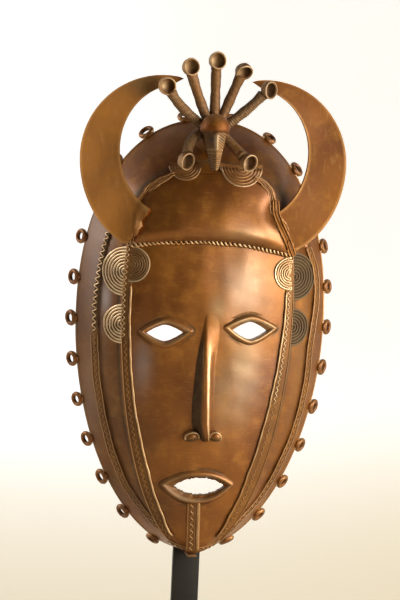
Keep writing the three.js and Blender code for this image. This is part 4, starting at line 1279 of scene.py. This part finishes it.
def head():
    """A domed cap, and under it a narrow face with nose, eyes, two cross bands and a long ribbed beard."""
    bpy.ops.mesh.primitive_uv_sphere_add(segments=32, ring_count=20, radius=1)
    dome = bpy.context.object
    at = cells(dome)
    points = np.stack([
        HEAD["x"] + at[:, 0] * HEAD["half"],
        -HEAD["forward"] + at[:, 1] * HEAD["deep"],
        HEAD["z"] + at[:, 2] * HEAD["tall"] * np.where(at[:, 2] < 0, 0.55, 1),
    ], -1)
    placed(dome, points)
    # Painted light on the dome: lighter on top and darker underneath
    marked(dome, rub=np.clip(at[:, 2] - 0.3, 0, 1) * 0.35, soot=np.clip(-at[:, 2] * 1.4, 0, 1))
    columns, rows = HEAD_FACE["columns"], HEAD_FACE["rows"]
    part, column, row = sheet(columns, rows)
    across, down = column / (columns / 2) - 1, row / rows
    half = mix(HEAD_FACE["half"], HEAD_FACE["chin_half"], down ** 0.9)
    half = half * np.sqrt(np.clip(1 - np.clip((down - 0.93) / 0.075, 0, 1) ** 2, 0.05, 1))
    ridge = mix(HEAD_FACE["forward"], HEAD_FACE["chin_forward"], down)
    forward = ridge - mix(5.5, 2.2, down) * np.abs(across) ** 1.4
    nose_run = eased((down - 0.04) / 0.1) * eased((0.50 - down) / 0.05)
    nose_ridge = 1.5 * np.exp(-((across - 0.05) / 0.2) ** 2) * nose_run
    eyes = -1.0 * np.exp(-((np.abs(across) - 0.5) / 0.22) ** 2 - ((down - 0.2) / 0.07) ** 2)
    cross_bands = 0.9 * np.exp(-((down - 0.48) / 0.025) ** 2) + 0.7 * np.exp(-((down - 0.57) / 0.02) ** 2)
    beard = 0.3 * np.sin(down * 120 + across * 3) * eased((down - 0.6) / 0.08)
    cheek = 0.28 * np.sin(down * 95 - across * 14) * (across > 0.15) * (down < 0.5)
    brow = 1.1 * np.exp(-((down - 0.03 - 0.07 * np.abs(across)) / 0.03) ** 2)
    sunk = -1.6 * np.clip(-across - 0.2, 0, 1) * eased((0.55 - down) / 0.1)
    forward = forward + nose_ridge + eyes + cross_bands + beard + cheek + brow + sunk
    back = mix(HEAD["forward"], HEAD_FACE["chin_back"], down)
    forward = np.where(np.abs(across) > 0.99, back, forward)
    x = HEAD["x"] + across * half
    placed(part, np.stack([x, -forward, mix(HEAD_FACE["top"], HEAD_FACE["chin"], down)], -1))
    # Painted highlights on the raised nose, bands, beard and ribbed right cheek and on the whole right side;
    # painted shade on the left side and in the eyes, over a little dirt
    painted_light = np.clip(nose_ridge * 0.5 + cross_bands * 0.3 + beard + cheek + (across > 0.15) * 0.2, 0, 0.7)
    dirt_and_painted_shade = np.clip(0.45 - eyes * 0.5 + (across < 0) * 0.3, 0, 1)
    return [closed(dome), closed(marked(part, rub=painted_light, soot=dirt_and_painted_shade), 0.9)]


def turned(profile, centre, axis, around=28):
    """A closed outline of distances from an axis and along it, turned round the axis."""
    axis = Vector(axis).normalized()
    across = axis.orthogonal().normalized()
    other = axis.cross(across)
    profile = np.array(profile)
    part, column, row = sheet(around, len(profile))
    turn, row = column / around * 2 * np.pi, row % len(profile)
    r, h = profile[row].T
    ring = np.outer(r * np.cos(turn), across) + np.outer(r * np.sin(turn), other)
    placed(part, np.array(centre) + ring + np.outer(h, axis))
    return part, r, h


def bowl(arm):
    """The little bowl at an arm's end. It is turned about a point inside it. Inside, its left wall is
    painted lit and its right wall painted in shade with dirt; outside, its rim is rubbed and its left side
    painted lighter.
    """
    pivot = CUP["pivot"]
    axis = (arm["tilt"][0], -1, arm["tilt"][1])
    centre = np.array([arm["cup"][0], pivot - arm["forward"], arm["cup"][1]])
    centre -= np.array(Vector(axis).normalized()) * pivot - np.array([0, -pivot, 0])
    part, r, h = turned(CUP_OUTSIDE + CUP_INSIDE, centre, axis)
    rim = np.clip((h - 6.3) / 0.8, 0, 1)
    inner = (r < 5.3) & (h > 1.1)
    rightward = (cells(part)[:, 0] / MM - centre[0]) / CUP["radius"]
    painted_inner_light = np.clip(0.55 - rightward * 1.3, 0, 0.85)
    rim_wear_and_painted_light = np.maximum(rim * 0.7, 0.45 * (rightward < 0))
    dirt_and_painted_inner_shade = np.clip(0.55 + rightward * 1.3 - h / 12, 0, 1)
    marked(part, rub=np.where(inner, painted_inner_light, rim_wear_and_painted_light), soot=np.where(inner, dirt_and_painted_inner_shade, 0.3))
    return closed(part, 1.0)


def arm(shape):
    """A round arm bent from root to cup, ribbed where thread binds it, and its bowl."""
    root = np.array([shape["root"][0], -ARM["forward"], shape["root"][1]])
    bow = np.array([shape["bow"][0], -mix(ARM["forward"], shape["forward"], 0.4), shape["bow"][1]])
    cup = np.array([shape["cup"][0], -shape["forward"], shape["cup"][1]])
    inward = (bow - cup) * [1, 0, 1]
    cup = cup + inward / np.linalg.norm(inward) * 4.8
    length = np.linalg.norm(cup - root)
    count = int(length / (0.42 if shape["wound"] > 0.9 else 0.8))
    t = np.linspace(0, 1, count)[:, None]
    pull = 2 * bow - (root + cup) / 2
    points = (1 - t) ** 2 * root + 2 * t * (1 - t) * pull + t ** 2 * cup
    run = t[:, 0] * length
    ribs = 0.19 * shape["wound"] * np.sin(run * 2 * np.pi / 1.6)
    swell = 0.16 * np.sin(run / 3.1 + length) + 0.10 * np.sin(run / 1.3)
    swell = swell + 0.5 * np.exp(-((run - length) / 2.5) ** 2)
    size = (ARM["radius"] + ribs + swell) / ARM["radius"]
    up = np.tile([0.0, -1.0, 0.0], (count, 1))
    part, column, row = swept(points, up, round_section(ARM["radius"], ARM["sides"]), size)
    # Painted light on the arm: its front lighter, more so on the ribs, and its back and the dips between
    # ribs darker
    front = np.clip(np.sin(row / ARM["sides"] * 2 * np.pi), 0, 1)
    high = np.clip(ribs[column] * 4, 0, 1)
    blotched = 0.5 + 0.5 * np.sin(run[column] / 2.3 + row) * np.sin(run[column] / 0.9 - row * 2)
    low = np.clip(-ribs[column] * 5, 0, 1) * 0.8
    painted_light = front * (0.14 + 0.26 * high) * (0.5 + blotched)
    marked(part, rub=painted_light, soot=np.clip(low + 0.8 - 0.5 * front, 0, 1))
    return [closed(part, 1.1), bowl(shape)]


crest_brass = cast_brass("crest_brass", dull=0.14, coat=0.12, grain=0.6, bright=(0.72, 0.52, 0.30, 1))
crest = [boss()] + head()
for shape in ARMS:
    crest += arm(shape)
finish_casting("mask_crest", crest, crest_brass)


# Rings of thick wax thread stand round the rim on short feet, thirteen on each side. Their outsides are
# rubbed bright and old dirt has stayed in the holes.
RING = {"radius": 4.3, "wire": 1.75, "outset": 5.4, "pairs": 13, "from_chin": 29, "from_top": 17.5}


def ring_angles():
    """Where the rings stand, evenly spaced along the rim."""
    angle = np.linspace(-np.pi / 2, np.pi / 2, 401)
    run = arc_lengths(*rim_point(angle))
    stops = np.linspace(RING["from_chin"], run[-1] - RING["from_top"], RING["pairs"])
    return np.interp(stops, run, angle)


def ring(side, angle, number):
    """A hoop that stands out from the rim, each a little turned and drawn, on a lump of wax as its foot."""
    bpy.ops.mesh.primitive_torus_add(
        major_radius=RING["radius"], minor_radius=RING["wire"], major_segments=22, minor_segments=9,
    )
    hoop = bpy.context.object
    here, ahead = np.array(rim_point(angle)), np.array(rim_point(angle + 0.01))
    along = np.array([side * (ahead[0] - here[0]), 0, ahead[1] - here[1]])
    along /= np.linalg.norm(along)
    _, normal = laid(flank, np.array([side * here[0] * 0.985]), np.array([RIM["middle"] + here[1] * 0.985]))
    axis = normal[0] - along * (normal[0] @ along)
    axis /= np.linalg.norm(axis)
    outward = np.cross(along, axis) * side
    odd = np.sin(number * 12.9 + side * 4.1)
    turned_axis = axis + along * 0.10 * odd
    turned_axis /= np.linalg.norm(turned_axis)
    sideways = np.cross(outward, turned_axis)
    at = cells(hoop)
    stretch = 1 + 0.05 * np.sin(number * 7.7 + side)
    foot = np.array([side * here[0], -1, RIM["middle"] + here[1]])
    centre = foot + outward * (RING["outset"] - 0.2 * abs(odd))
    thick = 1 + 0.22 * np.clip(-at[:, 1] / RING["radius"], 0, 1)
    centred = np.stack([at[:, 0] * stretch, at[:, 1] * 0.97, at[:, 2] * thick], -1)
    points = centre + centred @ np.stack([sideways, outward, turned_axis])
    placed(hoop, points)
    outward_share = np.hypot(at[:, 0], at[:, 1]) / RING["radius"]
    rub = np.clip((outward_share - 1.2) * 3, 0, 1) * 0.6
    marked(hoop, rub=rub, soot=np.clip((0.82 - outward_share) * 4, 0, 1) * 0.8)
    bpy.ops.mesh.primitive_uv_sphere_add(segments=14, ring_count=8, radius=1)
    lump = bpy.context.object
    at = cells(lump) * [3.6, 2.6, 1.9]
    placed(lump, foot + outward * 0.9 + at @ np.stack([along, outward, axis]))
    return [closed(hoop, 1.2), closed(marked(lump, rub=0, soot=0.25), 1.2)]


ring_brass = cast_brass("ring_brass", dull=0.06)
rings = []
for number, angle in enumerate(ring_angles()):
    rings += ring(-1, angle, number) + ring(1, angle, number)
finish_casting("mask_rings", rings, ring_brass)


# The studio: a pale paper sweep behind and below, two large soft lights from the right and front, a weak
# one from the left and one that washes the paper. The camera stands where the photograph was taken from.
def paper():
    """White paper, a little creamier to the right and toward the floor, and brightest behind the mask."""
    material, tree, principled, node, ranged, mixed = new_material("pale_paper")
    where = node("ShaderNodeTexCoord").outputs["Object"]
    parts = node("ShaderNodeSeparateXYZ", Vector=where)
    x, y = parts.outputs["X"], parts.outputs["Y"]

    def faded(value, *limits):
        return ranged(value, *limits, curve="SMOOTHSTEP")

    def worked(operation, *values):
        inputs = {f"i{number}": value for number, value in enumerate(values)}
        return node("ShaderNodeMath", {"operation": operation, "use_clamp": True}, **inputs).outputs[0]

    cream = worked("ADD", faded(x, 0.0, 0.7, 0, 0.3), faded(y, 2.6, 0.2, 0, 0.8))
    tone = mixed(cream, (0.97, 0.98, 1.0, 1), (0.70, 0.60, 0.42, 1))
    front_tone = (0.60, 0.54, 0.44, 1)
    tree.links.new(mixed(faded(y, 0.35, -0.8), tone, front_tone), principled.inputs["Base Color"])
    tree.links.new(tone, principled.inputs["Emission Color"])
    # Far off in front and to the sides it is brightened for the eye alone, so that it looks pale all round
    glow = faded(y, -0.8, 2.0, 0.05, 0.72)
    aside = node("ShaderNodeMath", {"operation": "ABSOLUTE"}, i0=x).outputs[0]
    far = worked("MAXIMUM", faded(aside, 1.2, 3.5, 0, 0.8), faded(y, -0.3, -3.0, 0, 0.8))
    seen = node("ShaderNodeLightPath").outputs["Is Camera Ray"]
    bright = worked("MAXIMUM", glow, worked("MULTIPLY", far, seen))
    tree.links.new(bright, principled.inputs["Emission Strength"])
    principled.inputs["Roughness"].default_value = 0.9
    principled.inputs["Specular IOR Level"].default_value = 0.1
    return material


# The sweep in metres: it lies flat from its front edge to the bend, and then stands up
SWEEP = {"half_width": 8, "length": 17.0, "front": 6.0, "bend": 3.0, "bend_radius": 2.0}
bpy.ops.mesh.primitive_grid_add(x_subdivisions=2, y_subdivisions=60, size=2)
sweep = bpy.context.object
at = cells(sweep)
run = (at[:, 1] + 1) / 2 * SWEEP["length"] - SWEEP["front"]
quarter = np.pi / 2 * SWEEP["bend_radius"]
bend = np.clip((run - SWEEP["bend"]) / quarter, 0, 1) * np.pi / 2
y = np.minimum(run, SWEEP["bend"]) + SWEEP["bend_radius"] * np.sin(bend)
z = SWEEP["bend_radius"] * (1 - np.cos(bend)) + np.maximum(run - SWEEP["bend"] - quarter, 0)
sweep.data.vertices.foreach_set("co", np.stack([at[:, 0] * SWEEP["half_width"], y, z], -1).ravel())
sweep.data.update()
sweep.name = "paper_sweep"
bpy.ops.object.shade_smooth()
sweep.data.materials.append(paper())
sweep.select_set(False)

# The air looks white to the camera and is dim everywhere else, so that only the lights and the paper shine
world = bpy.context.scene.world or bpy.data.worlds.new("studio")
bpy.context.scene.world = world
world.use_nodes = True
air = world.node_tree.nodes["Background"]
path = world.node_tree.nodes.new("ShaderNodeLightPath")
shown = world.node_tree.nodes.new("ShaderNodeMapRange")
shown.inputs["To Min"].default_value = 0.07
shown.inputs["To Max"].default_value = 0.95
world.node_tree.links.new(path.outputs["Is Camera Ray"], shown.inputs["Value"])
world.node_tree.links.new(shown.outputs["Result"], air.inputs["Strength"])
air.inputs["Color"].default_value = (1.0, 0.97, 0.90, 1)


def soft_light(name, place, aim, size, power, colour):
    """A rectangle of light that stands at a place and faces another."""
    bpy.ops.object.light_add(type="AREA", location=place)
    lamp = bpy.context.object
    lamp.name = name
    lamp.data.shape = "RECTANGLE"
    lamp.data.size, lamp.data.size_y = size
    lamp.data.energy = power
    lamp.data.color = colour
    lamp.rotation_euler = (Vector(aim) - Vector(place)).to_track_quat("-Z", "Y").to_euler()
    lamp.select_set(False)


soft_light("key_window", (1.02, -1.6, 0.50), (0, 0, 0.32), (0.6, 1.1), 22, (1.0, 0.96, 0.86))
soft_light("side_window", (1.75, -0.75, 0.75), (0, 0, 0.32), (1.0, 1.3), 42, (1.0, 0.95, 0.84))
soft_light("left_sheen", (-1.85, 0.3, 1.0), (0, 0, 0.35), (0.7, 0.7), 18, (1.0, 0.97, 0.92))
soft_light("paper_wash", (0, 1.2, 3.2), (0, 3.6, 0.2), (3.0, 1.0), 8, (1.0, 0.98, 0.96))

# Where the photograph was taken: turned a little to the left, three degrees up and tipped to one side
VIEW = {"turn": -7.5, "rise": 3.0, "roll": 2.6, "distance": 1600, "per_pixel": 0.73}
FRAME_SIZE = (400, 600)
FILM = 36
EYES_AT = Vector((0, -47 + RIM_Y, 166 + CHIN_Z))
EYES_IN_FRAME = (208.1, 332.0)
turn, rise, roll = (np.radians(VIEW[name]) for name in ("turn", "rise", "roll"))
back = Vector((np.sin(turn) * np.cos(rise), -np.cos(turn) * np.cos(rise), np.sin(rise)))
level = Vector((0, 0, 1)).cross(back).normalized()
upright = back.cross(level)
up = upright * np.cos(roll) - level * np.sin(roll)
right = level * np.cos(roll) + upright * np.sin(roll)
off_right, off_down = (seen - size / 2 for seen, size in zip(EYES_IN_FRAME, FRAME_SIZE))
aim = EYES_AT - right * off_right * VIEW["per_pixel"] + up * off_down * VIEW["per_pixel"]
bpy.ops.object.camera_add(location=(aim + back * VIEW["distance"]) * MM)
camera = bpy.context.object
camera.rotation_euler = Matrix((right, up, back)).transposed().to_euler()
camera.data.sensor_width = FILM
camera.data.lens = FILM * VIEW["distance"] / VIEW["per_pixel"] / FRAME_SIZE[1]
camera.data.clip_end = 100
bpy.context.scene.camera = camera
bpy.context.scene.view_settings.view_transform = "Standard"
